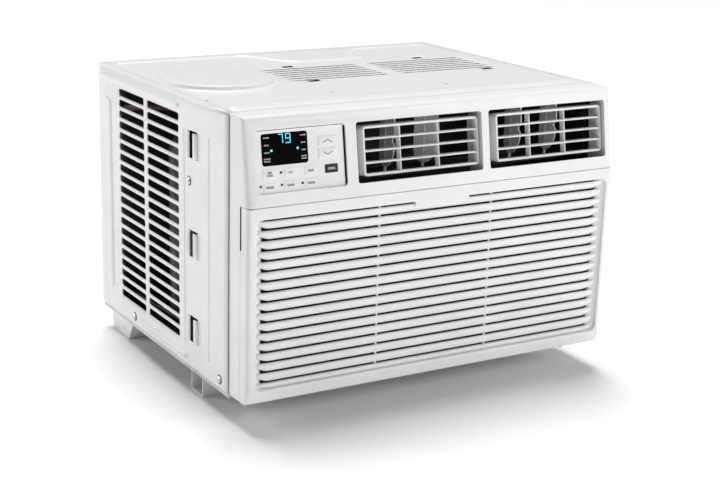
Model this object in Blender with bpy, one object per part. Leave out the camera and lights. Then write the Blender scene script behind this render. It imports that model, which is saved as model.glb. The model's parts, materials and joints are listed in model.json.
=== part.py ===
"""Window air conditioner: a steel cabinet with a plastic front, louvres, buttons, fans and refrigerant parts.

Metres, +Z up, +X to the viewer's right, the room side facing -Y. The origin lies under the middle of the
unit, on the surface that the sill rail and the rear feet stand on. Every piece hangs from the empty
cabinet_frame: there x runs from the middle, y from the seam between front and cabinet, z from the
cabinet's lower edge. Pieces of the sloping upper front hang from the empty panel_frame: there y runs
into the unit, at right angles to the sloping face, and z up along it.
"""

import math

import bmesh
import bpy
import numpy as np
from mathutils import Matrix, Vector

# Overall sizes
CABINET_WIDTH = 0.560
CABINET_HEIGHT = 0.360
CABINET_DEPTH = 0.428
FOOT_HEIGHT = 0.038
FRONT_WIDTH = CABINET_WIDTH - 0.004
SEAM_HEIGHT = 0.252      # where the sloping upper front meets the intake grille
FRONT_BULGE = 0.0505     # how far the front stands out at that seam
FRONT_TOP_DEPTH = 0.0335
RING_DEPTH = 0.030       # the front frame behind the intake grille

# Stock and clearances
SHEET = 0.0012
RAIL_SHEET = 0.002
WALL = 0.0025
GAP = 0.0003
PARTING = 0.0008         # between the front frame and the grille that tilts out of it
RUNNING = 0.0005         # round a part that slides or turns
THROUGH = 0.010          # how far a cutter reaches past what it cuts

# Cabinet
CORNER = 0.008
SLOT_ROWS = 20
SLOT_PITCH = 0.01545
SLOT_HEIGHT = 0.0088
SLOT_FIRST = 0.0361
SLOT_COLUMNS = ((0.146, 0.2495), (0.261, CABINET_DEPTH - 0.078))
LANCE_Y = (0.086, 0.114)
LANCE_MIDDLES = (0.054, 0.1705, 0.301)
LANCE_HEIGHT = 0.036
TOP_VENTS = ((-0.102, 0.055), (0.074, 0.234))
TOP_VENT_ROWS = 7
TOP_VENT_PITCH = 0.0155
TOP_VENT_FIRST = 0.176
TOP_VENT_WIDTH = 0.005
BEAD_HEIGHT = 0.002
SIDE_BEADS = ((0.143, CABINET_DEPTH - 0.0145, 0.340, 0.349), (0.119, 0.281, 0.007, 0.017),
              (CABINET_DEPTH - 0.048, CABINET_DEPTH - 0.024, 0.031, 0.317))
DISC_CENTRE = (0.088 - CABINET_WIDTH / 2, 0.212)
DISC_RADIUS = 0.078
DISC_HEIGHT = 0.003
SCREW_PLACES = ((0.1134, 0.2526), (0.3036, 0.0117), (0.0231, 0.0119))
SCREW_RADIUS = 0.002
SCREW_HEAD_RADIUS = 0.0052

# Base
PAN_DROP = 0.006         # the pan's floor below the cabinet's lower edge
PAN_LIP = 0.020
RAIL_Y = (0.091, 0.127)
RAIL_LIP = 0.007
RAIL_LENGTH = CABINET_WIDTH - 0.016
FOOT_Y = (CABINET_DEPTH - 0.098, CABINET_DEPTH - 0.016)
FOOT_WIDTH = 0.080
FOOT_SLANT = 0.018
FOOT_ROUND = 0.012
DRAIN_PLACE = (0.150, CABINET_DEPTH - 0.076)
DRAIN_RADIUS = 0.0045
DRAIN_HEAD = 0.003

# Front
FRONT_ROUND = 0.007
CHIN_HEIGHT = 0.021
CHIN_SLANT = 0.005
GRILLE_FRONT_LOW = 0.049
GRILLE_ROWS = 17
GRILLE_PITCH = 0.0131
GRILLE_FIRST = 0.0263
GRILLE_SLOT = 0.005
GRILLE_SLOT_HALF = FRONT_WIDTH / 2 - 0.0235
GRILLE_RIBS = (-0.0905, 0.0805)
GRILLE_RIB_WIDTH = 0.002
APRON = (-0.040, 0.042)
FINGER_NOTCH = (0.195, 0.0035)
HINGE_HEIGHT = 0.0035
HINGE_SETBACK = 0.0045
HINGE_PIN_RADIUS = 0.0015
HINGE_EAR = 0.003
FILTER_THICKNESS = 0.003
FILTER_LIFT = 0.012
FILTER_BOTTOM = 0.020
RING_BORDER = 0.014
CORD_PLACE = (0.235, -0.015)
CORD_NECK_RADIUS = 0.0065

# Air outlets, measured in the panel frame
OUTLET_Z = (0.016, 0.092)
OUTLETS = {"left": (-0.1235, 0.0645), "right": (0.0755, FRONT_WIDTH / 2 - 0.0115)}
LOUVER_MARGIN = 0.006
LOUVER_SETBACK = 0.014
LOUVER_DEPTH = 0.020
LOUVER_HEIGHT = 0.063
LOUVER_LIFT = 0.003
LOUVER_WALL = 0.0022
LOUVER_BAR = 0.0017
TRUNNION_RADIUS = 0.0025
VANE_CHORD = 0.036
VANE_THICKNESS = 0.0018
VANE_SHIFT = 0.018
VANE_TURNS = {"left_1": 0.0, "left_2": 30.0, "right_1": 0.0, "right_2": 0.0}
VANE_PIN_RADIUS = 0.002
DUCT_X = (-0.132, FRONT_WIDTH / 2 - 0.006)
DUCT_Y = (0.004, 0.046)
DUCT_Z = (0.259, 0.352)

# Controls, measured in the panel frame
CONTROL_OPENING = (-0.263, -0.1385, 0.0155, 0.092)
PANEL_SETBACK = 0.003
PANEL_FLANGE = 0.003
DISPLAY = (-0.2535, -0.191, 0.049, 0.0872)
BUTTON_TRAVEL = 0.0008
BUTTON_PROUD = 0.0005
BUTTONS = {
    "up": (-0.1635, 0.0725, 0.0250, 0.0118),
    "down": (-0.1635, 0.0578, 0.0250, 0.0115),
    "power": (-0.1595, 0.0387, 0.0166, 0.0090),
    "fan_speed": (-0.2445, 0.0390, 0.0172, 0.0100),
    "eco": (-0.2162, 0.0390, 0.0166, 0.0096),
    "mode": (-0.1885, 0.0386, 0.0154, 0.0100),
    "filter": (-0.2452, 0.0231, 0.0168, 0.0088),
    "sleep": (-0.2169, 0.0237, 0.0162, 0.0090),
    "timer": (-0.1885, 0.0237, 0.0152, 0.0090),
}

# Inside
BULKHEAD_Y = 0.150
SHAFT_X, SHAFT_Z = 0.060, 0.128
SHAFT_RADIUS = 0.004
SHAFT_Y = (0.056, CABINET_DEPTH - 0.052)
BLOWER_RADIUS = 0.094
BLOWER_Y = (0.062, 0.126)
BLOWER_BLADES = 18
HOUSING_X = (-0.128, CABINET_WIDTH / 2 - 0.010)
HOUSING_Y = (0.048, 0.146)
SCROLL_RADIUS = BLOWER_RADIUS + 0.014
INLET_RADIUS = BLOWER_RADIUS - 0.010
MOTOR_RADIUS = 0.052
MOTOR_Y = (0.165, 0.250)
FAN_Y = (CABINET_DEPTH - 0.093, CABINET_DEPTH - 0.062)
FAN_BLADES = 5
FAN_HUB_RADIUS = 0.030
FAN_RADIUS = 0.119
SLINGER_WIDTH = 0.005
SHROUD_Y = CABINET_DEPTH - 0.057
COIL_TOP = 0.246
EVAPORATOR_Y = (0.006, 0.034)
CONDENSER_Y = (CABINET_DEPTH - 0.043, CABINET_DEPTH - 0.009)
COIL_HALF = CABINET_WIDTH / 2 - 0.018
GUARD_Y = CABINET_DEPTH - 0.0055
GUARD_WINDOWS = 11
COMPRESSOR_PLACE = (0.088 - CABINET_WIDTH / 2, 0.235)
COMPRESSOR_RADIUS = 0.058
COMPRESSOR_FLOOR = 0.012
COMPRESSOR_TOP = 0.285
ACCUMULATOR_PLACE = (0.174 - CABINET_WIDTH / 2, 0.235)
ACCUMULATOR_RADIUS = 0.025
PIPE_LEAD = 0.001        # the straight stretch at each end of a pipe
PIPE_LANE = 0.0085 - CABINET_WIDTH / 2     # the pipes run along the cabinet's left wall here
OUTWARD, INWARD, UP, DOWN = (-1, 0, 0), (1, 0, 0), (0, 0, 1), (0, 0, -1)

PANEL_SLOPE = math.atan2(FRONT_BULGE - FRONT_TOP_DEPTH, CABINET_HEIGHT - SEAM_HEIGHT)
PAN_FLOOR = -PAN_DROP + SHEET
HALF_INNER = CABINET_WIDTH / 2 - SHEET

for old in list(bpy.data.objects):
    bpy.data.objects.remove(old, do_unlink=True)

scene = bpy.context.scene.collection


def empty(name, location, rotation=(0, 0, 0), parent=None):
    """A frame of reference that other objects hang from."""
    made = bpy.data.objects.new(name, None)
    made.location = location
    made.rotation_euler = rotation
    made.parent = parent
    scene.objects.link(made)
    return made


cabinet_frame = empty("cabinet_frame", (0, (FRONT_BULGE - CABINET_DEPTH) / 2, FOOT_HEIGHT))
panel_frame = empty("panel_frame", (0, -FRONT_BULGE, SEAM_HEIGHT), (-PANEL_SLOPE, 0, 0), cabinet_frame)


def finish(name, colour, roughness, metallic=0.0):
    """A plain material: its colour, roughness and metallic value."""
    made = bpy.data.materials.get(name)
    if made is None:
        made = bpy.data.materials.new(name)
        made.use_nodes = True
        shader = made.node_tree.nodes["Principled BSDF"]
        shader.inputs["Base Color"].default_value = (*colour, 1)
        shader.inputs["Roughness"].default_value = roughness
        shader.inputs["Metallic"].default_value = metallic
    return made


def white_paint():
    return finish("white_paint", (0.86, 0.86, 0.86), 0.35)


def white_plastic():
    return finish("white_plastic", (0.88, 0.88, 0.87), 0.4)


def grey_plastic():
    return finish("grey_plastic", (0.10, 0.10, 0.11), 0.55)


def black_plastic():
    return finish("black_plastic", (0.02, 0.02, 0.022), 0.5)


def galvanised():
    return finish("galvanised", (0.62, 0.64, 0.65), 0.4, 1.0)


def black_paint():
    return finish("black_paint", (0.03, 0.03, 0.032), 0.4)


def aluminium():
    return finish("aluminium", (0.80, 0.81, 0.82), 0.35, 1.0)


def copper():
    return finish("copper", (0.85, 0.45, 0.30), 0.3, 1.0)


def rubber():
    return finish("rubber", (0.03, 0.03, 0.03), 0.8)


# Outlines: lists of (a, b) points, anticlockwise.
def rectangle(low_a, high_a, low_b, high_b):
    return [(low_a, low_b), (high_a, low_b), (high_a, high_b), (low_a, high_b)]


def arc(centre, radius, start, end, steps):
    """Points of a circle's arc, angles in degrees."""
    turns = np.radians(np.linspace(start, end, steps + 1))
    return [(centre[0] + radius * math.cos(t), centre[1] + radius * math.sin(t)) for t in turns]


def circle(centre, radius, steps):
    return arc(centre, radius, 0, 360, steps)[:-1]


def stadium(low_a, high_a, low_b, high_b, steps=2):
    """A slot with round ends, along whichever side is longer."""
    radius = min(high_a - low_a, high_b - low_b) / 2
    if high_a - low_a > high_b - low_b:
        middle = (low_b + high_b) / 2
        ends = ((high_a - radius, middle, -90), (low_a + radius, middle, 90))
    else:
        middle = (low_a + high_a) / 2
        ends = ((middle, high_b - radius, 0), (middle, low_b + radius, 180))
    return [p for a, b, start in ends for p in arc((a, b), radius, start, start + 180, steps)]


def rounded(low_a, high_a, low_b, high_b, radius, steps=2):
    corners = (
        (high_a - radius, low_b + radius, -90),
        (high_a - radius, high_b - radius, 0),
        (low_a + radius, high_b - radius, 90),
        (low_a + radius, low_b + radius, 180),
    )
    return [p for a, b, start in corners for p in arc((a, b), radius, start, start + 90, steps)]


def placed(outline, axis, along):
    """An outline's points in space: (y, z) across x, (x, z) across y, (x, y) across z."""
    if axis == "x":
        return [Vector((along, a, b)) for a, b in outline]
    if axis == "y":
        return [Vector((a, along, b)) for a, b in outline]
    return [Vector((a, b, along)) for a, b in outline]


def add_loft(bm, loops):
    """A closed skin over loops of points that have the same count, with a flat cap at each end."""
    rings = [[bm.verts.new(point) for point in loop] for loop in loops]
    for low, high in zip(rings, rings[1:]):
        for i in range(len(low)):
            j = (i + 1) % len(low)
            bm.faces.new((low[i], low[j], high[j], high[i]))
    bm.faces.new(rings[0])
    bm.faces.new(rings[-1])


def add_prism(bm, outline, axis, start, end):
    add_loft(bm, [placed(outline, axis, start), placed(outline, axis, end)])


def add_box(bm, low, high):
    add_prism(bm, rectangle(low[0], high[0], low[1], high[1]), "z", low[2], high[2])


def add_turned(bm, centre, axis, profile, steps):
    """Stacked circles: profile holds (radius, place along the axis)."""
    add_loft(bm, [placed(circle(centre, radius, steps), axis, along) for radius, along in profile])


def new_object(name, bm, material, parent, location=(0, 0, 0), rotation=(0, 0, 0), smooth=False):
    bmesh.ops.recalc_face_normals(bm, faces=bm.faces)
    mesh = bpy.data.meshes.new(name)
    bm.to_mesh(mesh)
    bm.free()
    if smooth:
        mesh.shade_smooth()
        mesh.set_sharp_from_angle(angle=math.radians(35))
    made = bpy.data.objects.new(name, mesh)
    made.location = location
    made.rotation_euler = rotation
    made.parent = parent
    if material:
        mesh.materials.append(material)
    scene.objects.link(made)
    return made


def helper(name, bm, parent, location=(0, 0, 0), rotation=(0, 0, 0)):
    """A shape that only cuts or joins another: it isn't a piece of the unit."""
    made = new_object(name, bm, None, parent, location, rotation)
    made.hide_render = True
    made.display_type = "WIRE"
    return made


def combine(target, other, operation):
    modifier = target.modifiers.new(other.name, "BOOLEAN")
    modifier.operation = operation
    modifier.solver = "EXACT"
    modifier.object = other


def cut(target, bm, label, parent=None, location=(0, 0, 0), rotation=(0, 0, 0)):
    combine(target, helper(f"{target.name}_{label}_cutter", bm, parent or target.parent, location, rotation),
            "DIFFERENCE")


def join(target, bm, label, parent=None, location=(0, 0, 0), rotation=(0, 0, 0)):
    combine(target, helper(f"{target.name}_{label}_added", bm, parent or target.parent, location, rotation),
            "UNION")


def bevel_edges(bm, chosen, radius, segments=3):
    bmesh.ops.bevel(bm, geom=chosen, offset=radius, segments=segments, profile=0.5, affect="EDGES")


# The cabinet and its base
def wrap_section(shrink):
    """Half the outline of the bent sheet: up one side, over the top and down the other."""
    half = CABINET_WIDTH / 2 - shrink
    top = CABINET_HEIGHT - shrink
    radius = CORNER - shrink
    right = arc((half - radius, top - radius), radius, 0, 90, 4)
    left = arc((-half + radius, top - radius), radius, 90, 180, 4)
    return [(half, 0.0)] + right + left + [(-half, 0.0)]


def make_cabinet_wrap():
    bm = bmesh.new()
    add_prism(bm, wrap_section(0) + wrap_section(SHEET)[::-1], "y", 0, CABINET_DEPTH)
    wrap = new_object("cabinet_wrap", bm, white_paint(), cabinet_frame)

    beads = bmesh.new()
    for low_y, high_y, low_z, high_z in SIDE_BEADS:
        for side in (-1, 1):
            inner, outer = side * (HALF_INNER + SHEET / 2), side * (CABINET_WIDTH / 2 + BEAD_HEIGHT)
            add_prism(beads, stadium(low_y, high_y, low_z, high_z), "x", inner, outer)
    add_turned(beads, DISC_CENTRE, "z",
               ((DISC_RADIUS, CABINET_HEIGHT - SHEET / 2), (DISC_RADIUS, CABINET_HEIGHT),
                (DISC_RADIUS - 2 * DISC_HEIGHT, CABINET_HEIGHT + DISC_HEIGHT)), 32)
    join(wrap, beads, "beads")

    underside = DISC_RADIUS - SHEET
    hollow = bmesh.new()
    add_turned(hollow, DISC_CENTRE, "z",
               ((underside + 2 * THROUGH, CABINET_HEIGHT - SHEET - THROUGH),
                (underside - 2 * DISC_HEIGHT, CABINET_HEIGHT + DISC_HEIGHT - SHEET)), 32)
    cut(wrap, hollow, "disc")

    vents = bmesh.new()
    for low_x, high_x in TOP_VENTS:
        for row in range(TOP_VENT_ROWS):
            front = TOP_VENT_FIRST + row * TOP_VENT_PITCH
            add_prism(vents, stadium(low_x, high_x, front, front + TOP_VENT_WIDTH, 2), "z",
                      CABINET_HEIGHT - THROUGH, CABINET_HEIGHT + THROUGH)
    cut(wrap, vents, "top_vents")

    reach = CABINET_WIDTH / 2 + THROUGH
    slots = bmesh.new()
    for row in range(SLOT_ROWS):
        middle = SLOT_FIRST + row * SLOT_PITCH
        for low_y, high_y in SLOT_COLUMNS:
            outline = stadium(low_y, high_y, middle - SLOT_HEIGHT / 2, middle + SLOT_HEIGHT / 2)
            add_prism(slots, outline, "x", -reach, reach)
    for middle in LANCE_MIDDLES:
        outline = rectangle(*LANCE_Y, middle - LANCE_HEIGHT / 2, middle + LANCE_HEIGHT / 2)
        add_prism(slots, outline, "x", -reach, reach)
    for place in SCREW_PLACES:
        add_prism(slots, circle(place, SCREW_RADIUS + GAP, 8), "x", -reach, reach)
    cut(wrap, slots, "side_slots")


def make_base_pan():
    half = HALF_INNER - GAP
    bm = bmesh.new()
    add_box(bm, (-half, 2 * GAP, -PAN_DROP), (half, CABINET_DEPTH - 2 * GAP, PAN_LIP))
    pan = new_object("base_pan", bm, galvanised(), cabinet_frame)
    hollow = bmesh.new()
    add_box(hollow, (SHEET - half, 2 * GAP + SHEET, PAN_FLOOR),
            (half - SHEET, CABINET_DEPTH - 2 * GAP - SHEET, PAN_LIP + THROUGH))
    cut(pan, hollow, "tray")
    holes = bmesh.new()
    for place in SCREW_PLACES:
        if place[1] < PAN_LIP:
            add_prism(holes, circle(place, SCREW_RADIUS + GAP, 8), "x", -half - THROUGH, half + THROUGH)
    drain = circle(DRAIN_PLACE, DRAIN_RADIUS + GAP, 12)
    add_prism(holes, drain, "z", -PAN_DROP - THROUGH, PAN_FLOOR + THROUGH)
    cut(pan, holes, "holes")


def make_drain_plug():
    bm = bmesh.new()
    under = -PAN_DROP - GAP
    add_turned(bm, DRAIN_PLACE, "z",
               ((DRAIN_HEAD + DRAIN_RADIUS, under - DRAIN_HEAD), (DRAIN_HEAD + DRAIN_RADIUS, under),
                (DRAIN_RADIUS, under), (DRAIN_RADIUS, PAN_FLOOR + 2 * SHEET)), 12)
    new_object("drain_plug", bm, rubber(), cabinet_frame, smooth=True)


def make_sill_rail():
    top = -PAN_DROP - GAP
    low, front, back, t = -FOOT_HEIGHT, RAIL_Y[0], RAIL_Y[1], RAIL_SHEET
    outline = [
        (front - RAIL_LIP, top), (front - RAIL_LIP, top - t), (front, top - t), (front, low),
        (back, low), (back, top), (back - t, top), (back - t, low + t), (front + t, low + t), (front + t, top),
    ]
    bm = bmesh.new()
    add_prism(bm, outline, "x", -RAIL_LENGTH / 2, RAIL_LENGTH / 2)
    new_object("sill_rail", bm, galvanised(), cabinet_frame)


def foot_outline(inset, top):
    """The foot seen from the side: a slanting front and a round corner at the back."""
    front, back = FOOT_Y[0] + inset, FOOT_Y[1] - inset
    low = -FOOT_HEIGHT + inset
    radius = FOOT_ROUND - inset
    return [(front, top), (front + FOOT_SLANT, low)] + arc((back - radius, low + radius), radius, -90, 0, 4) + [
        (back, top)]


def make_rear_feet():
    top = -PAN_DROP - GAP
    for name, side in (("left", -1), ("right", 1)):
        outer = side * RAIL_LENGTH / 2
        inner = outer - side * FOOT_WIDTH
        bm = bmesh.new()
        add_prism(bm, foot_outline(0, top), "x", outer, inner)
        foot = new_object(f"rear_foot_{name}", bm, white_paint(), cabinet_frame)
        hollow = bmesh.new()
        add_prism(hollow, foot_outline(RAIL_SHEET, top + THROUGH), "x",
                  outer - side * RAIL_SHEET, inner + side * RAIL_SHEET)
        cut(foot, hollow, "inside")


def make_side_screws():
    for side_name, side in (("left", -1), ("right", 1)):
        for number, place in enumerate(SCREW_PLACES, 1):
            face = side * (CABINET_WIDTH / 2 + GAP)
            bm = bmesh.new()
            add_turned(bm, place, "x",
                       ((SCREW_RADIUS, face - side * 0.007), (SCREW_RADIUS, face), (SCREW_HEAD_RADIUS, face),
                        (SCREW_HEAD_RADIUS, face + side * 0.001), (SCREW_HEAD_RADIUS * 0.6, face + side * 0.002)),
                       8)
            new_object(f"side_screw_{side_name}_{number}", bm, galvanised(), cabinet_frame, smooth=True)


# The front
def sloped_y(z, inset=0.0):
    """The depth of the sloping upper front at a height, moved inwards by a wall."""
    return -FRONT_BULGE + (z - SEAM_HEIGHT) * math.tan(PANEL_SLOPE) + inset / math.cos(PANEL_SLOPE)


def make_front_bezel():
    half = FRONT_WIDTH / 2
    top = CABINET_HEIGHT
    outline = [
        (-GAP, 0), (-RING_DEPTH, 0), (-RING_DEPTH, SEAM_HEIGHT), (-FRONT_BULGE, SEAM_HEIGHT),
        (sloped_y(top), top), (-GAP, top),
    ]
    bm = bmesh.new()
    add_prism(bm, outline, "x", -half, half)
    upper = [e for e in bm.edges
             if all(v.co.z > SEAM_HEIGHT - GAP for v in e.verts)
             and all(v.co.y < -RING_DEPTH - GAP for v in e.verts)
             and not all(v.co.z < SEAM_HEIGHT + GAP for v in e.verts)]
    bevel_edges(bm, upper, FRONT_ROUND)
    bezel = new_object("front_bezel", bm, white_plastic(), cabinet_frame)

    hollow = bmesh.new()
    add_box(hollow, (WALL - half, WALL - RING_DEPTH, WALL), (half - WALL, THROUGH, SEAM_HEIGHT + 2 * WALL))
    cut(bezel, hollow, "ring")
    floor = SEAM_HEIGHT + WALL
    roof = top - WALL
    hollow = bmesh.new()
    outline = [(THROUGH, floor), (sloped_y(floor, WALL), floor),
               (sloped_y(roof, WALL), roof), (THROUGH, roof)]
    add_prism(hollow, outline, "x", WALL - half, half - WALL)
    cut(bezel, hollow, "upper")

    intake = bmesh.new()
    add_box(intake, (RING_BORDER - half, -RING_DEPTH - THROUGH, RING_BORDER),
            (half - RING_BORDER, THROUGH, SEAM_HEIGHT - RING_BORDER / 2))
    cut(bezel, intake, "intake")

    openings = bmesh.new()
    add_prism(openings, rounded(*CONTROL_OPENING, 0.004), "y", -THROUGH, THROUGH)
    for low_x, high_x in OUTLETS.values():
        add_prism(openings, rounded(low_x, high_x, *OUTLET_Z, 0.003), "y", -THROUGH, THROUGH)
    cut(bezel, openings, "openings", panel_frame)

    plates = bmesh.new()
    for low_x, high_x in OUTLETS.values():
        for edge, side in ((low_x, -1), (high_x, 1)):
            near, far = edge + side * 0.001, edge + side * (0.001 + WALL)
            add_box(plates, (min(near, far), WALL / 2, OUTLET_Z[0] - WALL),
                    (max(near, far), louver_depth() + 3 * TRUNNION_RADIUS, OUTLET_Z[1] + WALL))
    join(bezel, plates, "louver_plates", panel_frame)

    ears = bmesh.new()
    for side in (-1, 1):
        near = side * (half - WALL - RUNNING)
        far = near - side * HINGE_EAR
        add_prism(ears, stadium(-hinge_y_depth() - HINGE_HEIGHT + RUNNING, -RING_DEPTH + WALL / 2,
                                RUNNING, 2 * HINGE_HEIGHT - RUNNING), "x", near, far)
    join(bezel, ears, "hinge_ears")

    holes = bmesh.new()
    add_prism(holes, circle((-hinge_y_depth(), HINGE_HEIGHT), HINGE_PIN_RADIUS + GAP, 12), "x", -half, half)
    add_prism(holes, circle(CORD_PLACE, CORD_NECK_RADIUS + GAP, 16), "z", -THROUGH, 2 * WALL)
    cut(bezel, holes, "hinge_and_cord")

    holes = bmesh.new()
    for low_x, high_x in OUTLETS.values():
        add_prism(holes, circle((louver_depth(), louver_height()), TRUNNION_RADIUS + RUNNING, 16), "x",
                  low_x - 2 * WALL, high_x + 2 * WALL)
    cut(bezel, holes, "trunnions", panel_frame)


def hinge_y_depth():
    """How far in front of the cabinet seam the grille's hinge line lies."""
    return RING_DEPTH + HINGE_SETBACK


def louver_depth():
    """How far behind the sloping face a louvre's axis lies."""
    return LOUVER_SETBACK + LOUVER_DEPTH / 2


def louver_height():
    return OUTLET_Z[0] + LOUVER_LIFT + LOUVER_HEIGHT / 2


def make_cord_gland():
    bm = bmesh.new()
    inside = WALL + GAP
    add_turned(bm, CORD_PLACE, "z",
               ((0.0045, -0.012), (0.0055, -0.001 - GAP), (0.009, -0.001 - GAP), (0.009, -GAP),
                (CORD_NECK_RADIUS, -GAP), (CORD_NECK_RADIUS, inside + 0.002)), 16)
    new_object("cord_gland", bm, rubber(), cabinet_frame, smooth=True)


def grille_outline(inset):
    """The tilting front seen from the side, with the chin that slants back at its foot."""
    back = -RING_DEPTH - PARTING
    top = SEAM_HEIGHT - PARTING - inset
    chin = CHIN_HEIGHT + inset / 2
    return [
        (back + (THROUGH if inset else 0), inset), (-GRILLE_FRONT_LOW + CHIN_SLANT + inset, inset),
        (-GRILLE_FRONT_LOW + inset, chin), (-FRONT_BULGE + inset, top), (back + (THROUGH if inset else 0), top),
    ]


def make_intake_grille():
    half = FRONT_WIDTH / 2
    axis = (0, -hinge_y_depth(), HINGE_HEIGHT)
    bm = bmesh.new()
    add_prism(bm, grille_outline(0), "x", -half, half)
    corners = [e for e in bm.edges
               if abs(e.verts[0].co.x - e.verts[1].co.x) < GAP
               and all(v.co.y < -hinge_y_depth() for v in e.verts)
               and abs(e.verts[0].co.z - e.verts[1].co.z) > CHIN_HEIGHT / 2]
    bevel_edges(bm, corners, FRONT_ROUND)
    back_edge = [e for e in bm.edges
                 if all(v.co.z < GAP and v.co.y > -hinge_y_depth() for v in e.verts)]
    bevel_edges(bm, back_edge, RAIL_SHEET, 1)
    bmesh.ops.translate(bm, verts=bm.verts, vec=-Vector(axis))
    grille = new_object("intake_grille", bm, white_plastic(), cabinet_frame, axis)

    hollow = bmesh.new()
    add_prism(hollow, grille_outline(WALL), "x", WALL - half, half - WALL)
    cut(grille, hollow, "inside", cabinet_frame)

    rails = bmesh.new()
    for side in (-1, 1):
        near, lip = filter_half() + RUNNING, filter_half() - 0.0045
        outline = [(near, -GRILLE_FRONT_LOW + WALL / 2), (near + 0.0015, -GRILLE_FRONT_LOW + WALL / 2),
                   (near + 0.0015, filter_back() + 0.0018), (lip, filter_back() + 0.0018),
                   (lip, filter_back() + RUNNING), (near, filter_back() + RUNNING)]
        rail = [(side * x, y) for x, y in outline]
        add_prism(rails, rail, "z", FILTER_BOTTOM + 0.002, SEAM_HEIGHT - 3 * WALL)
    join(grille, rails, "filter_rails", cabinet_frame)

    slots = bmesh.new()
    for row in range(GRILLE_ROWS):
        low = GRILLE_FIRST + row * GRILLE_PITCH - GRILLE_SLOT / 2
        for start, end in grille_bays(row):
            add_box(slots, (start, -FRONT_BULGE - THROUGH, low),
                    (end, -GRILLE_FRONT_LOW + 3 * WALL / 2, low + GRILLE_SLOT))
    cut(grille, slots, "slots", cabinet_frame)

    pins = bmesh.new()
    for side in (-1, 1):
        add_prism(pins, circle(axis[1:], HINGE_PIN_RADIUS, 12), "x", side * (half - WALL / 2),
                  side * (half - WALL - 2 * RUNNING - HINGE_EAR))
    notches = bmesh.new()
    for side in (-1, 1):
        edges = sorted((side * (half - WALL), side * (half - WALL - HINGE_EAR - 2 * RUNNING)))
        add_box(notches, (edges[0], -hinge_y_depth() - HINGE_HEIGHT, -THROUGH),
                (edges[1], -RING_DEPTH + THROUGH, WALL + RUNNING))
        edges = sorted((side * (half - 2 * WALL), side * (half + THROUGH)))
        add_box(notches, (edges[0], -RING_DEPTH - PARTING - FINGER_NOTCH[1], FINGER_NOTCH[0]),
                (edges[1], -RING_DEPTH + THROUGH, SEAM_HEIGHT - PARTING - WALL / 2))
    cut(grille, notches, "notches", cabinet_frame)
    join(grille, pins, "pins", cabinet_frame)


def grille_bays(row):
    """The stretches of one row of slots: the ribs divide it, and the apron closes the top one's middle."""
    edge = GRILLE_SLOT_HALF
    cuts = [-edge, GRILLE_RIBS[0], GRILLE_RIBS[1], edge]
    rib = GRILLE_RIB_WIDTH / 2
    bays = [(low + rib, high - rib) for low, high in zip(cuts, cuts[1:])]
    if row < GRILLE_ROWS - 1:
        return bays
    middle = bays[1]
    return [bays[0], (middle[0], APRON[0]), (APRON[1], middle[1]), bays[2]]


def filter_half():
    return FRONT_WIDTH / 2 - WALL - 0.019


def filter_back():
    return -RING_DEPTH - PARTING - 0.0022


def make_air_filter():
    half = filter_half()
    top = SEAM_HEIGHT - PARTING - WALL - FILTER_LIFT - RUNNING
    back = filter_back()
    bm = bmesh.new()
    add_box(bm, (-half, back - FILTER_THICKNESS, FILTER_BOTTOM), (half, back, top))
    air_filter = new_object("air_filter", bm, grey_plastic(), cabinet_frame)
    panes = bmesh.new()
    columns, rows, border = 6, 2, 0.005
    step_x = (2 * half - border) / columns
    step_z = (top - FILTER_BOTTOM - border) / rows
    for i in range(columns):
        for k in range(rows):
            low_x = -half + border + i * step_x
            low_z = FILTER_BOTTOM + border + k * step_z
            add_box(panes, (low_x, back - THROUGH, low_z),
                    (low_x + step_x - border, back - FILTER_THICKNESS / 3, low_z + step_z - border))
    cut(air_filter, panes, "panes")


# The louvres, vanes and duct of the air outlets
def louver_bars(width):
    """The places of the two upright bars, from a louvre's middle."""
    return (-width / 6, width / 6)


def make_louver(name, low_x, high_x):
    width = high_x - low_x - 2 * LOUVER_MARGIN
    half_w, half_d, half_h = width / 2, LOUVER_DEPTH / 2, LOUVER_HEIGHT / 2
    place = ((low_x + high_x) / 2, louver_depth(), louver_height())
    bm = bmesh.new()
    add_prism(bm, rounded(-half_w, half_w, -half_h, half_h, 0.004), "y", -half_d, half_d)
    louver = new_object(f"louver_{name}", bm, white_plastic(), panel_frame, place)
    cells = bmesh.new()
    xs = [-half_w + LOUVER_WALL - LOUVER_BAR / 2, *louver_bars(width), half_w - LOUVER_WALL + LOUVER_BAR / 2]
    zs = np.linspace(-half_h + LOUVER_WALL - LOUVER_BAR / 2, half_h - LOUVER_WALL + LOUVER_BAR / 2, 5)
    for low_a, high_a in zip(xs, xs[1:]):
        for low_b, high_b in zip(zs, zs[1:]):
            add_box(cells, (low_a + LOUVER_BAR / 2, -LOUVER_DEPTH, low_b + LOUVER_BAR / 2),
                    (high_a - LOUVER_BAR / 2, LOUVER_DEPTH, high_b - LOUVER_BAR / 2))
    cut(louver, cells, "cells", louver)
    trunnions = bmesh.new()
    for side in (-1, 1):
        add_prism(trunnions, circle((0, 0), TRUNNION_RADIUS, 16), "x", side * (half_w - LOUVER_WALL / 2),
                  side * (half_w + LOUVER_MARGIN + WALL))
    join(louver, trunnions, "trunnions", louver)


def vane_places():
    """Each vane's name and the x of its pin, a little to the right of a louvre's upright bar."""
    for side, (low_x, high_x) in OUTLETS.items():
        width = high_x - low_x - 2 * LOUVER_MARGIN
        for number, bar in enumerate(louver_bars(width), 1):
            yield f"{side}_{number}", (low_x + high_x) / 2 + bar + VANE_SHIFT


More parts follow.
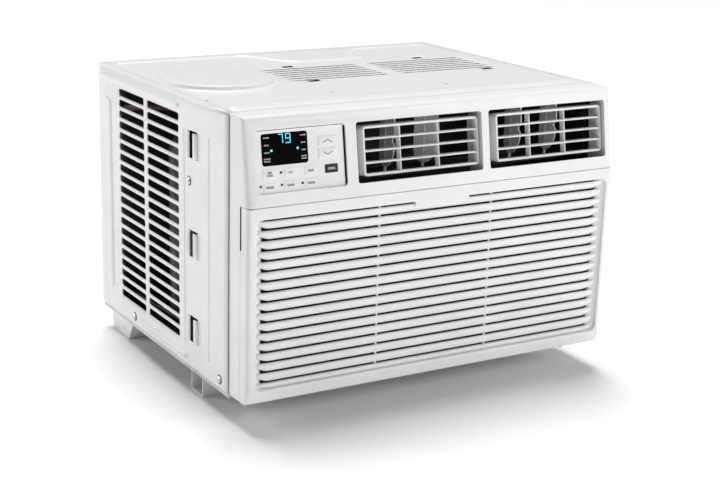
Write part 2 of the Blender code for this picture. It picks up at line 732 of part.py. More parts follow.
def make_vanes():
    half = VANE_CHORD / 2
    low, high = DUCT_Z[0] + WALL, DUCT_Z[1] - WALL
    middle_y, middle_z = sum(DUCT_Y) / 2, (low + high) / 2
    reach = (high - low) / 2 - 2 * RUNNING
    outline = [(half, -reach * 0.6), (half, reach * 0.86), (half * 0.7, reach), (-half * 0.7, reach),
               (-half, reach * 0.86), (-half, -reach * 0.45), (-half * 0.5, -reach * 0.86), (0, -reach),
               (half * 0.6, -reach * 0.9)]
    for name, x in vane_places():
        bm = bmesh.new()
        add_prism(bm, outline, "x", -VANE_THICKNESS / 2, VANE_THICKNESS / 2)
        turn = math.radians(VANE_TURNS[name])
        place = (x, middle_y, middle_z)
        vane = new_object(f"vane_{name}", bm, white_plastic(), cabinet_frame, place, (0, 0, turn))
        pins = bmesh.new()
        for side in (-1, 1):
            add_prism(pins, circle((0, 0), VANE_PIN_RADIUS, 12), "z", side * reach * 0.8,
                      side * (reach + 2 * RUNNING + WALL - GAP))
        join(vane, pins, "pins", vane)


def make_outlet_duct():
    bm = bmesh.new()
    add_box(bm, (DUCT_X[0], DUCT_Y[0], DUCT_Z[0]), (DUCT_X[1], DUCT_Y[1], DUCT_Z[1]))
    duct = new_object("outlet_duct", bm, grey_plastic(), cabinet_frame)
    hollow = bmesh.new()
    add_box(hollow, (DUCT_X[0] + WALL, DUCT_Y[0] - THROUGH, DUCT_Z[0] + WALL),
            (DUCT_X[1] - WALL, DUCT_Y[1] + THROUGH, DUCT_Z[1] - WALL))
    cut(duct, hollow, "inside")
    holes = bmesh.new()
    for _, x in vane_places():
        add_prism(holes, circle((x, sum(DUCT_Y) / 2), VANE_PIN_RADIUS + GAP, 12), "z",
                  DUCT_Z[0] - THROUGH, DUCT_Z[1] + THROUGH)
    cut(duct, holes, "vane_holes")


# The control panel
def make_control_panel():
    low_x, high_x, low_z, high_z = CONTROL_OPENING
    bm = bmesh.new()
    flange = PANEL_FLANGE
    add_prism(bm, rounded(low_x - flange, high_x + flange, low_z - flange, high_z + flange, 0.004), "y",
              PANEL_SETBACK, PANEL_SETBACK + WALL)
    panel = new_object("control_panel", bm, white_plastic(), panel_frame)
    holes = bmesh.new()
    add_prism(holes, rounded(*grown(DISPLAY, GAP), 0.003), "y", -THROUGH, THROUGH)
    for x, z, width, height in BUTTONS.values():
        add_prism(holes, rounded(*grown(around(x, z, width, height), GAP), 0.0013, 1), "y", -THROUGH, THROUGH)
    cut(panel, holes, "holes")


def around(x, z, width, height):
    return (x - width / 2, x + width / 2, z - height / 2, z + height / 2)


def grown(sides, by):
    return (sides[0] - by, sides[1] + by, sides[2] - by, sides[3] + by)


def make_display():
    bm = bmesh.new()
    front = PANEL_SETBACK - BUTTON_PROUD
    add_prism(bm, rounded(*DISPLAY, 0.003), "y", front, PANEL_SETBACK + WALL)
    window = finish("display_glass", (0.005, 0.005, 0.006), 0.08)
    new_object("display_window", bm, window, panel_frame)


def board_depth():
    return PANEL_SETBACK + WALL + 0.005


def make_display_board():
    bm = bmesh.new()
    add_prism(bm, rectangle(*grown(CONTROL_OPENING, -0.003)), "y", board_depth(), board_depth() + 0.0016)
    new_object("display_board", bm, finish("circuit_board", (0.02, 0.16, 0.07), 0.5), panel_frame)


def make_buttons():
    """Each button is a cap, a flange that keeps it in the panel, and a stem that meets the board."""
    rear = PANEL_SETBACK + WALL + RUNNING
    for name, (x, z, width, height) in BUTTONS.items():
        cap = rounded(*around(0, 0, width, height), 0.0012, 1)
        flange = rounded(*grown(around(0, 0, width, height), 0.0009), 0.0012, 1)
        stem = rounded(*around(0, 0, 0.003, 0.003), 0.0008, 1)
        layers = ((cap, PANEL_SETBACK - BUTTON_PROUD), (cap, rear), (flange, rear), (flange, rear + 0.001),
                  (stem, rear + 0.001), (stem, board_depth() - BUTTON_TRAVEL - RUNNING))
        bm = bmesh.new()
        add_loft(bm, [placed(outline, "y", depth) for outline, depth in layers])
        new_object(f"button_{name}", bm, grey_plastic() if name == "power" else white_plastic(), panel_frame,
                   (x, 0, z))


def make_control_box():
    low, high = (0.012 - CABINET_WIDTH / 2, 0.006, DUCT_Z[0]), (-0.140, 0.108, DUCT_Z[1] - 0.002)
    bm = bmesh.new()
    add_box(bm, low, high)
    box = new_object("control_box", bm, galvanised(), cabinet_frame)
    hollow = bmesh.new()
    add_box(hollow, (low[0] + SHEET, low[1] - THROUGH, low[2] + SHEET),
            (high[0] - SHEET, high[1] - SHEET, high[2] - SHEET))
    cut(box, hollow, "inside")


def make_run_capacitor():
    bm = bmesh.new()
    add_turned(bm, (-0.200, DUCT_Z[0] + SHEET + GAP + 0.0225), "y",
               ((0.020, 0.030), (0.0225, 0.032), (0.0225, 0.100), (0.020, 0.102)), 20)
    new_object("run_capacitor", bm, aluminium(), cabinet_frame, smooth=True)


# The air side: coils, blower, fan and motor
def make_coil(name, span_y, low_z, high_z, tubes):
    bm = bmesh.new()
    add_box(bm, (-COIL_HALF, span_y[0], low_z), (COIL_HALF, span_y[1], high_z))
    coil = new_object(name, bm, aluminium(), cabinet_frame)
    ends = bmesh.new()
    pitch = (high_z - low_z) / tubes
    for i in range(tubes):
        middle = low_z + (i + 0.5) * pitch
        add_prism(ends, stadium(span_y[0] + 0.005, span_y[1] - 0.005, middle - 0.0035, middle + 0.0035), "x",
                  COIL_HALF - 0.002, COIL_HALF + 0.007)
    join(coil, ends, "return_bends")


def make_bulkhead():
    half = HALF_INNER - SHEET - 3 * GAP
    bm = bmesh.new()
    add_box(bm, (-half, BULKHEAD_Y, PAN_FLOOR + GAP), (half, BULKHEAD_Y + SHEET, DUCT_Z[1]))
    bulkhead = new_object("bulkhead", bm, galvanised(), cabinet_frame)
    holes = bmesh.new()
    add_prism(holes, circle((SHAFT_X, SHAFT_Z), 3 * SHAFT_RADIUS, 16), "y",
              BULKHEAD_Y - THROUGH, BULKHEAD_Y + THROUGH)
    add_box(holes, (-half - THROUGH, BULKHEAD_Y - THROUGH, 0.030), (-0.258, BULKHEAD_Y + THROUGH, 0.215))
    cut(bulkhead, holes, "holes")


def make_blower_housing():
    low_z = PAN_FLOOR + GAP
    bm = bmesh.new()
    add_box(bm, (HOUSING_X[0], HOUSING_Y[0], low_z), (HOUSING_X[1], HOUSING_Y[1], DUCT_Z[1]))
    housing = new_object("blower_housing", bm, finish("foam", (0.75, 0.76, 0.78), 0.9), cabinet_frame)
    hollow = bmesh.new()
    inside = (HOUSING_Y[0] + 2 * WALL, HOUSING_Y[1] - 2 * WALL)
    add_prism(hollow, circle((SHAFT_X, SHAFT_Z), SCROLL_RADIUS, 32), "y", *inside)
    cut(housing, hollow, "scroll")
    throat = bmesh.new()
    add_box(throat, (SHAFT_X, inside[0] + GAP, SHAFT_Z),
            (SHAFT_X + SCROLL_RADIUS, inside[1] - GAP, DUCT_Z[0] + 2 * WALL))
    cut(housing, throat, "throat")
    plenum = bmesh.new()
    add_box(plenum, (HOUSING_X[0] + 2 * WALL, HOUSING_Y[0] - THROUGH, DUCT_Z[0] + WALL),
            (HOUSING_X[1] - 2 * WALL, inside[1] - 2 * GAP, DUCT_Z[1] - 2 * WALL))
    cut(housing, plenum, "plenum")
    holes = bmesh.new()
    inlet = circle((SHAFT_X, SHAFT_Z), INLET_RADIUS, 32)
    add_prism(holes, inlet, "y", HOUSING_Y[0] - THROUGH, inside[0] + THROUGH / 2)
    add_prism(holes, circle((SHAFT_X, SHAFT_Z), 2 * SHAFT_RADIUS, 16), "y", inside[1] - THROUGH / 2,
              HOUSING_Y[1] + THROUGH)
    cut(housing, holes, "inlet")


def make_blower_wheel():
    """A back plate with a hub, blades round its rim, and a ring that ties their front ends."""
    hub = (SHAFT_X, SHAFT_Z)
    front, back = BLOWER_Y
    blade_radius = BLOWER_RADIUS - 0.010
    bm = bmesh.new()
    add_prism(bm, circle(hub, BLOWER_RADIUS, 36), "y", back - 0.002, back)
    wheel = new_object("blower_wheel", bm, grey_plastic(), cabinet_frame)
    parts = bmesh.new()
    for i in range(BLOWER_BLADES):
        spin = Matrix.Rotation(2 * math.pi * i / BLOWER_BLADES, 4, "Y")
        lean = Matrix.Rotation(math.radians(30), 4, "Y")
        blade = bmesh.new()
        add_box(blade, (-0.0007, front + 0.001, -0.008), (0.0007, back - 0.001, 0.008))
        outward = Matrix.Translation((0, 0, blade_radius))
        blade.transform(Matrix.Translation((hub[0], 0, hub[1])) @ spin @ outward @ lean)
        mesh = bpy.data.meshes.new("blade")
        blade.to_mesh(mesh)
        blade.free()
        parts.from_mesh(mesh)
        bpy.data.meshes.remove(mesh)
    join(wheel, parts, "blades")
    ring = bmesh.new()
    add_prism(ring, circle(hub, BLOWER_RADIUS, 36), "y", front, front + 0.003)
    add_turned(ring, hub, "y", ((0.016, back - 0.030), (0.016, back - 0.001)), 20)
    join(wheel, ring, "ring_and_hub")
    holes = bmesh.new()
    mouth = circle(hub, BLOWER_RADIUS - 0.0145, 32)
    add_prism(holes, mouth, "y", front - THROUGH, front + 0.003 + THROUGH / 2)
    add_prism(holes, circle(hub, SHAFT_RADIUS + GAP, 16), "y", back - 0.05, back + THROUGH)
    cut(wheel, holes, "bores")


def make_fan_shaft():
    bm = bmesh.new()
    add_prism(bm, circle((0, 0), SHAFT_RADIUS, 16), "y", *SHAFT_Y)
    new_object("fan_shaft", bm, galvanised(), cabinet_frame, (SHAFT_X, 0, SHAFT_Z), smooth=True)


def make_fan_motor():
    hub = (SHAFT_X, SHAFT_Z)
    front, back = MOTOR_Y
    bm = bmesh.new()
    add_turned(bm, hub, "y", ((0.018, front), (0.022, front + 0.010), (MOTOR_RADIUS - 0.006, front + 0.012),
                              (MOTOR_RADIUS, front + 0.018), (MOTOR_RADIUS, back - 0.018),
                              (MOTOR_RADIUS - 0.006, back - 0.012), (0.022, back - 0.010), (0.018, back)), 28)
    motor = new_object("fan_motor", bm, black_paint(), cabinet_frame, smooth=True)
    bore = bmesh.new()
    add_prism(bore, circle(hub, SHAFT_RADIUS + GAP, 16), "y", front - THROUGH, back + THROUGH)
    cut(motor, bore, "bore")


def make_motor_bracket():
    """A saddle plate under the motor, with a foot on the base pan."""
    middle = sum(MOTOR_Y) / 2
    low = PAN_FLOOR + GAP
    bm = bmesh.new()
    add_box(bm, (SHAFT_X - 0.062, middle - 0.003, low), (SHAFT_X + 0.062, middle + 0.003, SHAFT_Z + 0.020))
    bracket = new_object("motor_bracket", bm, galvanised(), cabinet_frame)
    foot = bmesh.new()
    add_box(foot, (SHAFT_X - 0.062, middle - 0.030, low), (SHAFT_X + 0.062, middle + 0.030, low + 0.003))
    join(bracket, foot, "foot")
    saddle = bmesh.new()
    seat = circle((SHAFT_X, SHAFT_Z), MOTOR_RADIUS + GAP, 28)
    add_prism(saddle, seat, "y", middle - THROUGH, middle + THROUGH)
    cut(bracket, saddle, "saddle")


def make_condenser_fan():
    """A hub, pitched blades and the ring that slings water on to the coil."""
    hub = (SHAFT_X, SHAFT_Z)
    middle = sum(FAN_Y) / 2
    bm = bmesh.new()
    add_turned(bm, hub, "y", ((FAN_HUB_RADIUS * 0.8, FAN_Y[0]), (FAN_HUB_RADIUS, FAN_Y[0] + 0.004),
                              (FAN_HUB_RADIUS, FAN_Y[1])), 24)
    fan = new_object("condenser_fan", bm, black_plastic(), cabinet_frame)
    blades = bmesh.new()
    for i in range(FAN_BLADES):
        spin = Matrix.Rotation(2 * math.pi * i / FAN_BLADES, 4, "Y")
        lean = Matrix.Rotation(math.radians(22), 4, "Z")
        to_hub = Matrix.Translation((hub[0], middle, hub[1])) @ spin @ lean
        sections = []
        for radius, half_chord in ((0.022, 0.016), (0.070, 0.034), (FAN_RADIUS + SLINGER_WIDTH / 2, 0.030)):
            corners = ((-half_chord, -0.001, radius), (half_chord, -0.001, radius), (half_chord, 0.001, radius),
                       (-half_chord, 0.001, radius))
            sections.append([to_hub @ Vector(corner) for corner in corners])
        add_loft(blades, sections)
    join(fan, blades, "blades")
    ring = bmesh.new()
    add_prism(ring, circle(hub, FAN_RADIUS + SLINGER_WIDTH, 40), "y", middle - 0.010, middle + 0.010)
    ring_object = helper("slinger_ring_added", ring, cabinet_frame)
    inner = bmesh.new()
    add_prism(inner, circle(hub, FAN_RADIUS, 40), "y", middle - THROUGH * 2, middle + THROUGH * 2)
    cut(ring_object, inner, "inside")
    combine(fan, ring_object, "UNION")
    bore = bmesh.new()
    add_prism(bore, circle(hub, SHAFT_RADIUS + GAP, 16), "y", FAN_Y[0] - THROUGH, FAN_Y[1] + THROUGH)
    cut(fan, bore, "bore")


def make_fan_shroud():
    half = HALF_INNER - SHEET - 3 * GAP
    bm = bmesh.new()
    add_box(bm, (-half, SHROUD_Y, PAN_FLOOR + GAP), (half, SHROUD_Y + WALL, DUCT_Z[1]))
    shroud = new_object("fan_shroud", bm, black_plastic(), cabinet_frame)
    hole = bmesh.new()
    add_prism(hole, circle((SHAFT_X, SHAFT_Z), FAN_RADIUS + SLINGER_WIDTH + 0.004, 40), "y", SHROUD_Y - THROUGH,
              SHROUD_Y + THROUGH)
    add_box(hole, (-half - THROUGH, SHROUD_Y - THROUGH, 0.020), (-0.258, SHROUD_Y + THROUGH, 0.330))
    cut(shroud, hole, "hole")


def make_rear_guard():
    half = HALF_INNER - SHEET - 3 * GAP
    low, high = PAN_FLOOR + GAP, CABINET_HEIGHT - CORNER
    bm = bmesh.new()
    add_box(bm, (-half, GUARD_Y, low), (half, GUARD_Y + RAIL_SHEET, high))
    guard = new_object("rear_guard", bm, white_paint(), cabinet_frame)
    windows = bmesh.new()
    bar = 0.010
    pitch = (2 * half - bar) / GUARD_WINDOWS
    for i in range(GUARD_WINDOWS):
        start = -half + bar + i * pitch
        add_box(windows, (start, GUARD_Y - THROUGH, low + 0.022),
                (start + pitch - bar, GUARD_Y + THROUGH, high - 0.012))
    cut(guard, windows, "windows")


# The refrigerant circuit
def make_compressor():
    radius, low, high = COMPRESSOR_RADIUS, COMPRESSOR_FLOOR, COMPRESSOR_TOP
    bm = bmesh.new()
    add_turned(bm, COMPRESSOR_PLACE, "z",
               ((radius * 0.75, low), (radius, low + 0.018), (radius, high - 0.022), (radius * 0.9, high - 0.008),
                (radius * 0.7, high)), 28)
    compressor = new_object("compressor", bm, black_paint(), cabinet_frame, smooth=True)
    feet = bmesh.new()
    add_prism(feet, circle(COMPRESSOR_PLACE, radius + 0.022, 3), "z", low - 0.003, low + 0.002)
    join(compressor, feet, "feet")


def make_compressor_grommets():
    reach = COMPRESSOR_RADIUS + 0.006
    for number, (x, y) in enumerate(circle(COMPRESSOR_PLACE, reach, 3), 1):
        low, high = PAN_FLOOR + GAP, COMPRESSOR_FLOOR - 0.003 - GAP
        middle = (low + high) / 2
        bm = bmesh.new()
        add_turned(bm, (x, y), "z", ((0.009, low), (0.009, middle - 0.002), (0.007, middle), (0.009, middle + 0.002),
                                     (0.009, high)), 16)
        new_object(f"compressor_grommet_{number}", bm, rubber(), cabinet_frame, smooth=True)


def make_terminal_cover():
    bm = bmesh.new()
    low = COMPRESSOR_TOP + GAP
    add_turned(bm, COMPRESSOR_PLACE, "z", ((0.024, low), (0.024, low + 0.022), (0.018, low + 0.028)), 20)
    new_object("terminal_cover", bm, black_plastic(), cabinet_frame, smooth=True)


def make_accumulator():
    radius = ACCUMULATOR_RADIUS
    x, y = ACCUMULATOR_PLACE
    bm = bmesh.new()
    add_turned(bm, ACCUMULATOR_PLACE, "z", ((radius * 0.4, 0.060), (radius, 0.075), (radius, 0.205),
                                           (radius * 0.4, 0.220)), 20)
    accumulator = new_object("accumulator", bm, black_paint(), cabinet_frame, smooth=True)
    elbow = bmesh.new()
    end = COMPRESSOR_PLACE[0] + COMPRESSOR_RADIUS + GAP
    add_prism(elbow, circle((x, y), 0.005, 10), "z", 0.040, 0.064)
    add_prism(elbow, circle((y, 0.0435), 0.0045, 10), "x", end, x + 0.004)
    elbow_object = helper("accumulator_elbow_added", elbow, cabinet_frame)
    modifier = accumulator.modifiers.new("elbow", "BOOLEAN")
    modifier.operation = "UNION"
    modifier.solver = "EXACT"
    modifier.use_self = True
    modifier.object = elbow_object


def smooth_route(points, leaves, arrives, steps=4):
    """Points along a smooth curve through the given ones, with a given direction at each end."""
    first, last = points[1] - points[0], points[-1] - points[-2]
    ends = [points[1] - 2 * first.length * leaves, *points, points[-2] + 2 * last.length * arrives]
    route = []
    for a, b, c, d in zip(ends, ends[1:], ends[2:], ends[3:]):
        for t in np.linspace(0, 1, steps, endpoint=False):
            route.append(0.5 * (2 * b + (c - a) * t + (2 * a - 5 * b + 4 * c - d) * t ** 2
                                + (3 * b - a - 3 * c + d) * t ** 3))
    return route + [points[-1]]


def make_pipe(name, points, radius, leaves, arrives):
    """A tube through the points. leaves and arrives are the directions in which its ends run straight."""
    leaves, arrives = Vector(leaves), Vector(arrives)
    places = [Vector(p) for p in points]
    inner = [places[0] + leaves * PIPE_LEAD, *places[1:-1], places[-1] - arrives * PIPE_LEAD]
    route = [places[0], *smooth_route(inner, leaves, arrives), places[-1]]
    curve = bpy.data.curves.new(name, "CURVE")
    curve.dimensions = "3D"
    curve.bevel_depth = radius
    curve.bevel_resolution = 2
    curve.use_fill_caps = True
    spline = curve.splines.new("POLY")
    spline.points.add(len(route) - 1)
    for point, place in zip(spline.points, route):
        point.co = (*place, 1)
    curve.materials.append(copper())
    pipe = bpy.data.objects.new(name, curve)
    pipe.parent = cabinet_frame
    scene.objects.link(pipe)


def make_pipes():
    end = -COIL_HALF - GAP
    condenser_y, evaporator_y = sum(CONDENSER_Y) / 2, sum(EVAPORATOR_Y) / 2
    x, y = COMPRESSOR_PLACE
    make_pipe("discharge_pipe",
              ((x - 0.033, y, COMPRESSOR_TOP + GAP), (x - 0.034, y + 0.002, 0.304),
               (x - 0.045, y + 0.020, 0.318), (PIPE_LANE + 0.0055, y + 0.060, 0.316),
               (PIPE_LANE, condenser_y - 0.062, 0.308), (PIPE_LANE, condenser_y - 0.008, 0.303),
               (end, condenser_y, 0.302)), 0.004, UP, INWARD)
    x, y = ACCUMULATOR_PLACE
    make_pipe("suction_pipe",
              ((end, evaporator_y, 0.200), (PIPE_LANE, evaporator_y + 0.010, 0.200), (PIPE_LANE, 0.120, 0.200),
               (PIPE_LANE + 0.0035, 0.155, 0.202), (PIPE_LANE + 0.0265, 0.166, 0.225),
               (x - 0.074, 0.166, 0.255), (x - 0.019, 0.175, 0.262),
               (x, y - 0.020, 0.254), (x, y - 0.003, 0.240), (x, y, 0.220 + GAP)), 0.005, OUTWARD, DOWN)
    make_pipe("capillary_tube",
              ((end, condenser_y, 0.034), (PIPE_LANE, condenser_y - 0.008, 0.036), (PIPE_LANE, 0.250, 0.045),
               (PIPE_LANE, 0.150, 0.050), (PIPE_LANE, evaporator_y + 0.010, 0.059), (end, evaporator_y, 0.060)),
              0.0018, OUTWARD, INWARD)


make_cabinet_wrap()
make_base_pan()
make_drain_plug()
make_sill_rail()
make_rear_feet()
make_side_screws()
make_front_bezel()
make_cord_gland()
make_intake_grille()
make_air_filter()
for outlet, (outlet_start, outlet_end) in OUTLETS.items():
    make_louver(outlet, outlet_start, outlet_end)
make_vanes()
make_outlet_duct()
make_control_panel()
make_display()
make_display_board()
make_buttons()
make_control_box()
make_run_capacitor()
make_coil("evaporator_coil", EVAPORATOR_Y, 0.0, COIL_TOP, 8)
make_coil("condenser_coil", CONDENSER_Y, 0.0, DUCT_Z[1] - 0.004, 12)
make_bulkhead()
make_blower_housing()
make_blower_wheel()
make_fan_shaft()
make_fan_motor()
make_motor_bracket()
make_condenser_fan()
make_fan_shroud()
make_rear_guard()
make_compressor()
make_compressor_grommets()
make_terminal_cover()
make_accumulator()
make_pipes()
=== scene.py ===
# %% [markdown]
# # A window air conditioner
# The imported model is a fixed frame: it says how big every piece is and which body it moves with.
# This script dresses that frame. It builds the pressed steel, the moulded front and the louvres as
# surfaces, and gives every piece a finish of its own.

# %% Load the frame
import json
import math

import bmesh
import bpy
import numpy as np
from mathutils import Matrix, Vector

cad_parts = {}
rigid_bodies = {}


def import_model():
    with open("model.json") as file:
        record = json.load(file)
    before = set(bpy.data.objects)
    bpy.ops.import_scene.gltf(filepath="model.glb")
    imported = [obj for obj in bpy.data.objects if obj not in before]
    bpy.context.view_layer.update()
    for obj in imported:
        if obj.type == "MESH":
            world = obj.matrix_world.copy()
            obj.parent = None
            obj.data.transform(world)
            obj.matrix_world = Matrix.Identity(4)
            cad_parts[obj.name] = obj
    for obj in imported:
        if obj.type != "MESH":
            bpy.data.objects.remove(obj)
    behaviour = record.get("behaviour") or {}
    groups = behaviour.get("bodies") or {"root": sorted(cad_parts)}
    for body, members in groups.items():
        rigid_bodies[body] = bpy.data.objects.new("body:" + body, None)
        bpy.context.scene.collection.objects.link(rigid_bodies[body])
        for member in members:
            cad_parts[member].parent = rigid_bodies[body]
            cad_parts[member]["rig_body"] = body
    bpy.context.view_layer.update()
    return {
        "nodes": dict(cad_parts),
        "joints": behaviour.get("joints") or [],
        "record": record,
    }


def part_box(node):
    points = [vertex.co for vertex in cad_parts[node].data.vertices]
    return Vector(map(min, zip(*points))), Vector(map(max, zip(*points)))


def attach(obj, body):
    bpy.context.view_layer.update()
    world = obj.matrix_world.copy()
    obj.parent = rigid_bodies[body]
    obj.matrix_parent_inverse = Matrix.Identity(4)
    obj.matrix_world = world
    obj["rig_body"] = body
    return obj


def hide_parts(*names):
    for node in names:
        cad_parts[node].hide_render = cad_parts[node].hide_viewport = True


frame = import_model()
MM = 0.001
joints = {joint["name"]: joint for joint in frame["joints"]}

# %% [markdown]
# ## Where things are
# Three directions matter on this unit: along the width, into the room and up. The upper front leans
# back, so its buttons press along a slanting axis. That axis and the one at right angles to it make
# a second set of directions, in which the sloping face is flat and easy to draw on.

# %% Places worked out from the frame
cabinet_low, cabinet_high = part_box("cabinet_wrap")
bezel_low, bezel_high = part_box("front_bezel")
FRONT_Y = cabinet_low.y
BASE_Z, TOP_Z = cabinet_low.z, bezel_high.z
CABINET_DEPTH = cabinet_high.y - cabinet_low.y


def points_of(node):
    """All vertices of a CAD node as rows of x, y, z."""
    found = np.empty(len(frame["nodes"][node].data.vertices) * 3)
    frame["nodes"][node].data.vertices.foreach_get("co", found)
    return found.reshape(-1, 3)


wrap_points, bezel_points = points_of("cabinet_wrap"), points_of("front_bezel")
HALF = wrap_points[wrap_points[:, 2] < BASE_Z + 1 * MM, 0].max()
SEAM_Z = bezel_points[bezel_points[:, 1] < bezel_low.y + 0.1 * MM, 2].min()
PANEL_IN = np.array(joints["button_power_press"]["axis"])
PANEL_UP = np.cross([1.0, 0.0, 0.0], PANEL_IN)
PANEL_ORIGIN = np.array([0.0, bezel_low.y, SEAM_Z])


def on_panel(x, depth, up):
    """Points on the sloping front: x along it, depth behind its face, up along its slope."""
    x, depth, up = np.broadcast_arrays(x, depth, up)
    return (PANEL_ORIGIN + x[..., None] * [1.0, 0.0, 0.0] + depth[..., None] * PANEL_IN
            + up[..., None] * PANEL_UP)


def panel_box(node):
    """A node's lowest and highest x, depth and up, measured along the sloping front."""
    away = points_of(node) - PANEL_ORIGIN
    measured = np.stack([away[:, 0], away @ PANEL_IN, away @ PANEL_UP], axis=1)
    return measured.min(0), measured.max(0)


print("seam height", round(SEAM_Z, 4), "half width", HALF, "front at", round(FRONT_Y, 4))

# %% [markdown]
# ## Building surfaces
# Every new shape below is a grid of points: rows and columns that a formula places all at once.
# Neighbouring points make the faces. Some shapes need several grids, so one function joins them,
# merges the points that coincide and turns the faces outwards.

# %% Grids to meshes


def grid_faces(rows, columns, first, keep=None):
    """Corner numbers of a grid's faces: each face joins a point to its neighbours right and below."""
    corner = first + np.arange(rows * columns).reshape(rows, columns)
    faces = np.stack([corner[:-1, :-1], corner[:-1, 1:], corner[1:, 1:], corner[1:, :-1]], axis=-1)
    return faces[keep] if keep is not None else faces.reshape(-1, 4)


def make_piece(name, patches, finish, body, slot, replaced=(), wall=0.0, closed=True, centre=None):
    """Joins grids into one object. A patch is an array (rows, columns, 3), or (array, keep mask).

    A closed piece has its normals recalculated. An open sheet is turned so that its faces look
    away from centre, and wall gives it a thickness on the inner side.
    """
    points, faces, count = [], [], 0
    for patch in patches:
        grid, keep = patch if isinstance(patch, tuple) else (patch, None)
        own = grid_faces(*grid.shape[:2], 0, keep)
        flat = grid.reshape(-1, 3)
        if not closed:
            corners = flat[own]
            normals = np.cross(corners[:, 1] - corners[:, 0], corners[:, 2] - corners[:, 0])
            if np.sum(normals * (corners.mean(1) - np.asarray(centre))) < 0:
                own = own[:, ::-1]
        points.append(flat)
        faces.append(own + count)
        count += len(flat)
    mesh = bpy.data.meshes.new(name)
    mesh.from_pydata(np.concatenate(points).tolist(), [], np.concatenate(faces).tolist())
    tidy = bmesh.new()
    tidy.from_mesh(mesh)
    bmesh.ops.remove_doubles(tidy, verts=tidy.verts, dist=0.01 * MM)
    bmesh.ops.delete(tidy, geom=[v for v in tidy.verts if not v.link_faces], context="VERTS")
    if closed:
        bmesh.ops.recalc_face_normals(tidy, faces=tidy.faces)
    tidy.to_mesh(mesh)
    tidy.free()
    mesh.shade_smooth()
    mesh.set_sharp_from_angle(angle=math.radians(38))
    piece = bpy.data.objects.new(name, mesh)
    bpy.context.scene.collection.objects.link(piece)
    mesh.materials.append(finish)
    if wall:
        thick = piece.modifiers.new("wall", "SOLIDIFY")
        thick.thickness, thick.offset = wall, -1.0
        # The inner side takes the near-black painted shade, so that slots and openings look dark inside.
        mesh.materials.append(shade_black)
        thick.material_offset = 1
        thick.material_offset_rim = 0
    return dress(piece, body, slot, replaced)


def dress(piece, body, slot, replaced=()):
    """Hangs a finished piece on its body and hides the CAD nodes it stands for. The slot is not used."""
    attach(piece, body)
    if replaced:
        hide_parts(*replaced)
    return piece


def softened(node, radius, finish, slot, steps=2, name=None):
    """A copy of a CAD node with its loose triangles merged and its edges rounded by a bevel."""
    mesh = frame["nodes"][node].data.copy()
    tidy = bmesh.new()
    tidy.from_mesh(mesh)
    bmesh.ops.remove_doubles(tidy, verts=tidy.verts, dist=0.02 * MM)
    bmesh.ops.dissolve_limit(tidy, angle_limit=math.radians(1), verts=tidy.verts, edges=tidy.edges)
    tidy.to_mesh(mesh)
    tidy.free()
    mesh.shade_smooth()
    mesh.set_sharp_from_angle(angle=math.radians(32))
    mesh.materials.clear()
    mesh.materials.append(finish)
    piece = bpy.data.objects.new(name or f"{node}_finished", mesh)
    bpy.context.scene.collection.objects.link(piece)
    if radius:
        round_edges = piece.modifiers.new("edges", "BEVEL")
        round_edges.width, round_edges.segments = radius, steps
        round_edges.limit_method, round_edges.angle_limit = "ANGLE", math.radians(40)
        round_edges.harden_normals = True
    return dress(piece, frame["nodes"][node]["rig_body"], slot, (node,))


# %% [markdown]
# Many outlines here are rectangles with round corners: openings, buttons, beads and frames. One
# formula gives them all, and a stack of such rings, each a little smaller, makes a rim or a dome.

# %% Rings and strips


def ring(low_a, high_a, low_b, high_b, radius, inset=0.0, per_side=6, per_corner=5):
    """A closed rounded rectangle: each corner is a quarter circle, and the sides run between them."""
    low_a, high_a, low_b, high_b = low_a + inset, high_a - inset, low_b + inset, high_b - inset
    radius = max(radius - inset, 0.0)
    turns = np.radians(np.linspace(0, 90, per_corner))
    parts = []
    corners = ((high_a - radius, low_b + radius, -90), (high_a - radius, high_b - radius, 0),
               (low_a + radius, high_b - radius, 90), (low_a + radius, low_b + radius, 180))
    for number, (a, b, start) in enumerate(corners):
        angle = turns + math.radians(start)
        parts.append(np.stack([a + radius * np.cos(angle), b + radius * np.sin(angle)], axis=1))
        a_next, b_next, next_start = corners[(number + 1) % 4]
        first = parts[-1][-1]
        last = np.array([a_next + radius * math.cos(math.radians(next_start)),
                         b_next + radius * math.sin(math.radians(next_start))])
        share = np.linspace(0, 1, per_side + 2)[1:-1, None]
        parts.append(first + share * (last - first))
    outline = np.concatenate(parts)
    return np.concatenate([outline, outline[:1]])


def middle_of(loop):
    """A loop's middle, once for each of its points: as the next row of a grid it closes the loop."""
    return np.broadcast_to(loop[:-1].mean(0), loop.shape)


def rounded_rise(height, run, steps=5):
    """Pairs (inset, rise) of a pressed edge: a smooth s-shaped climb over the run."""
    share = np.linspace(0, 1, steps)
    return list(zip(run * share, height * share * share * (3 - 2 * share)))


def path_strip(path, across, rises, surface):
    """A strip along a path of (a, b) points: its columns lie `across` the path, raised by rises."""
    path = np.asarray(path)
    along = np.gradient(path, axis=0)
    along /= np.linalg.norm(along, axis=1, keepdims=True)
    side = np.stack([-along[:, 1], along[:, 0]], axis=1)
    flat = path[:, None, :] + side[:, None, :] * np.asarray(across)[None, :, None]
    return surface(flat[..., 0], flat[..., 1], np.broadcast_to(rises, flat.shape[:2]))


def marks_at(keys, spacing):
    """Grid lines through all the key places, with others between them no further than the spacing."""
    keys = np.unique(np.round(keys, 6))
    parts = []
    for a, b in zip(keys, keys[1:]):
        parts.append(np.linspace(a, b, max(1, math.ceil((b - a) / spacing)) + 1)[:-1])
    return np.concatenate(parts + [keys[-1:]])


# %% [markdown]
# ## Finishes
# Two effects come up in most materials. Paint and moulded plastic are never perfectly even: a faint
# mottling, a little unevenness in the gloss and a very fine skin. Dust settles in patches and dulls
# the gloss. Each effect is a node group, made once and placed in every material with its own values.

# %% Shared node groups


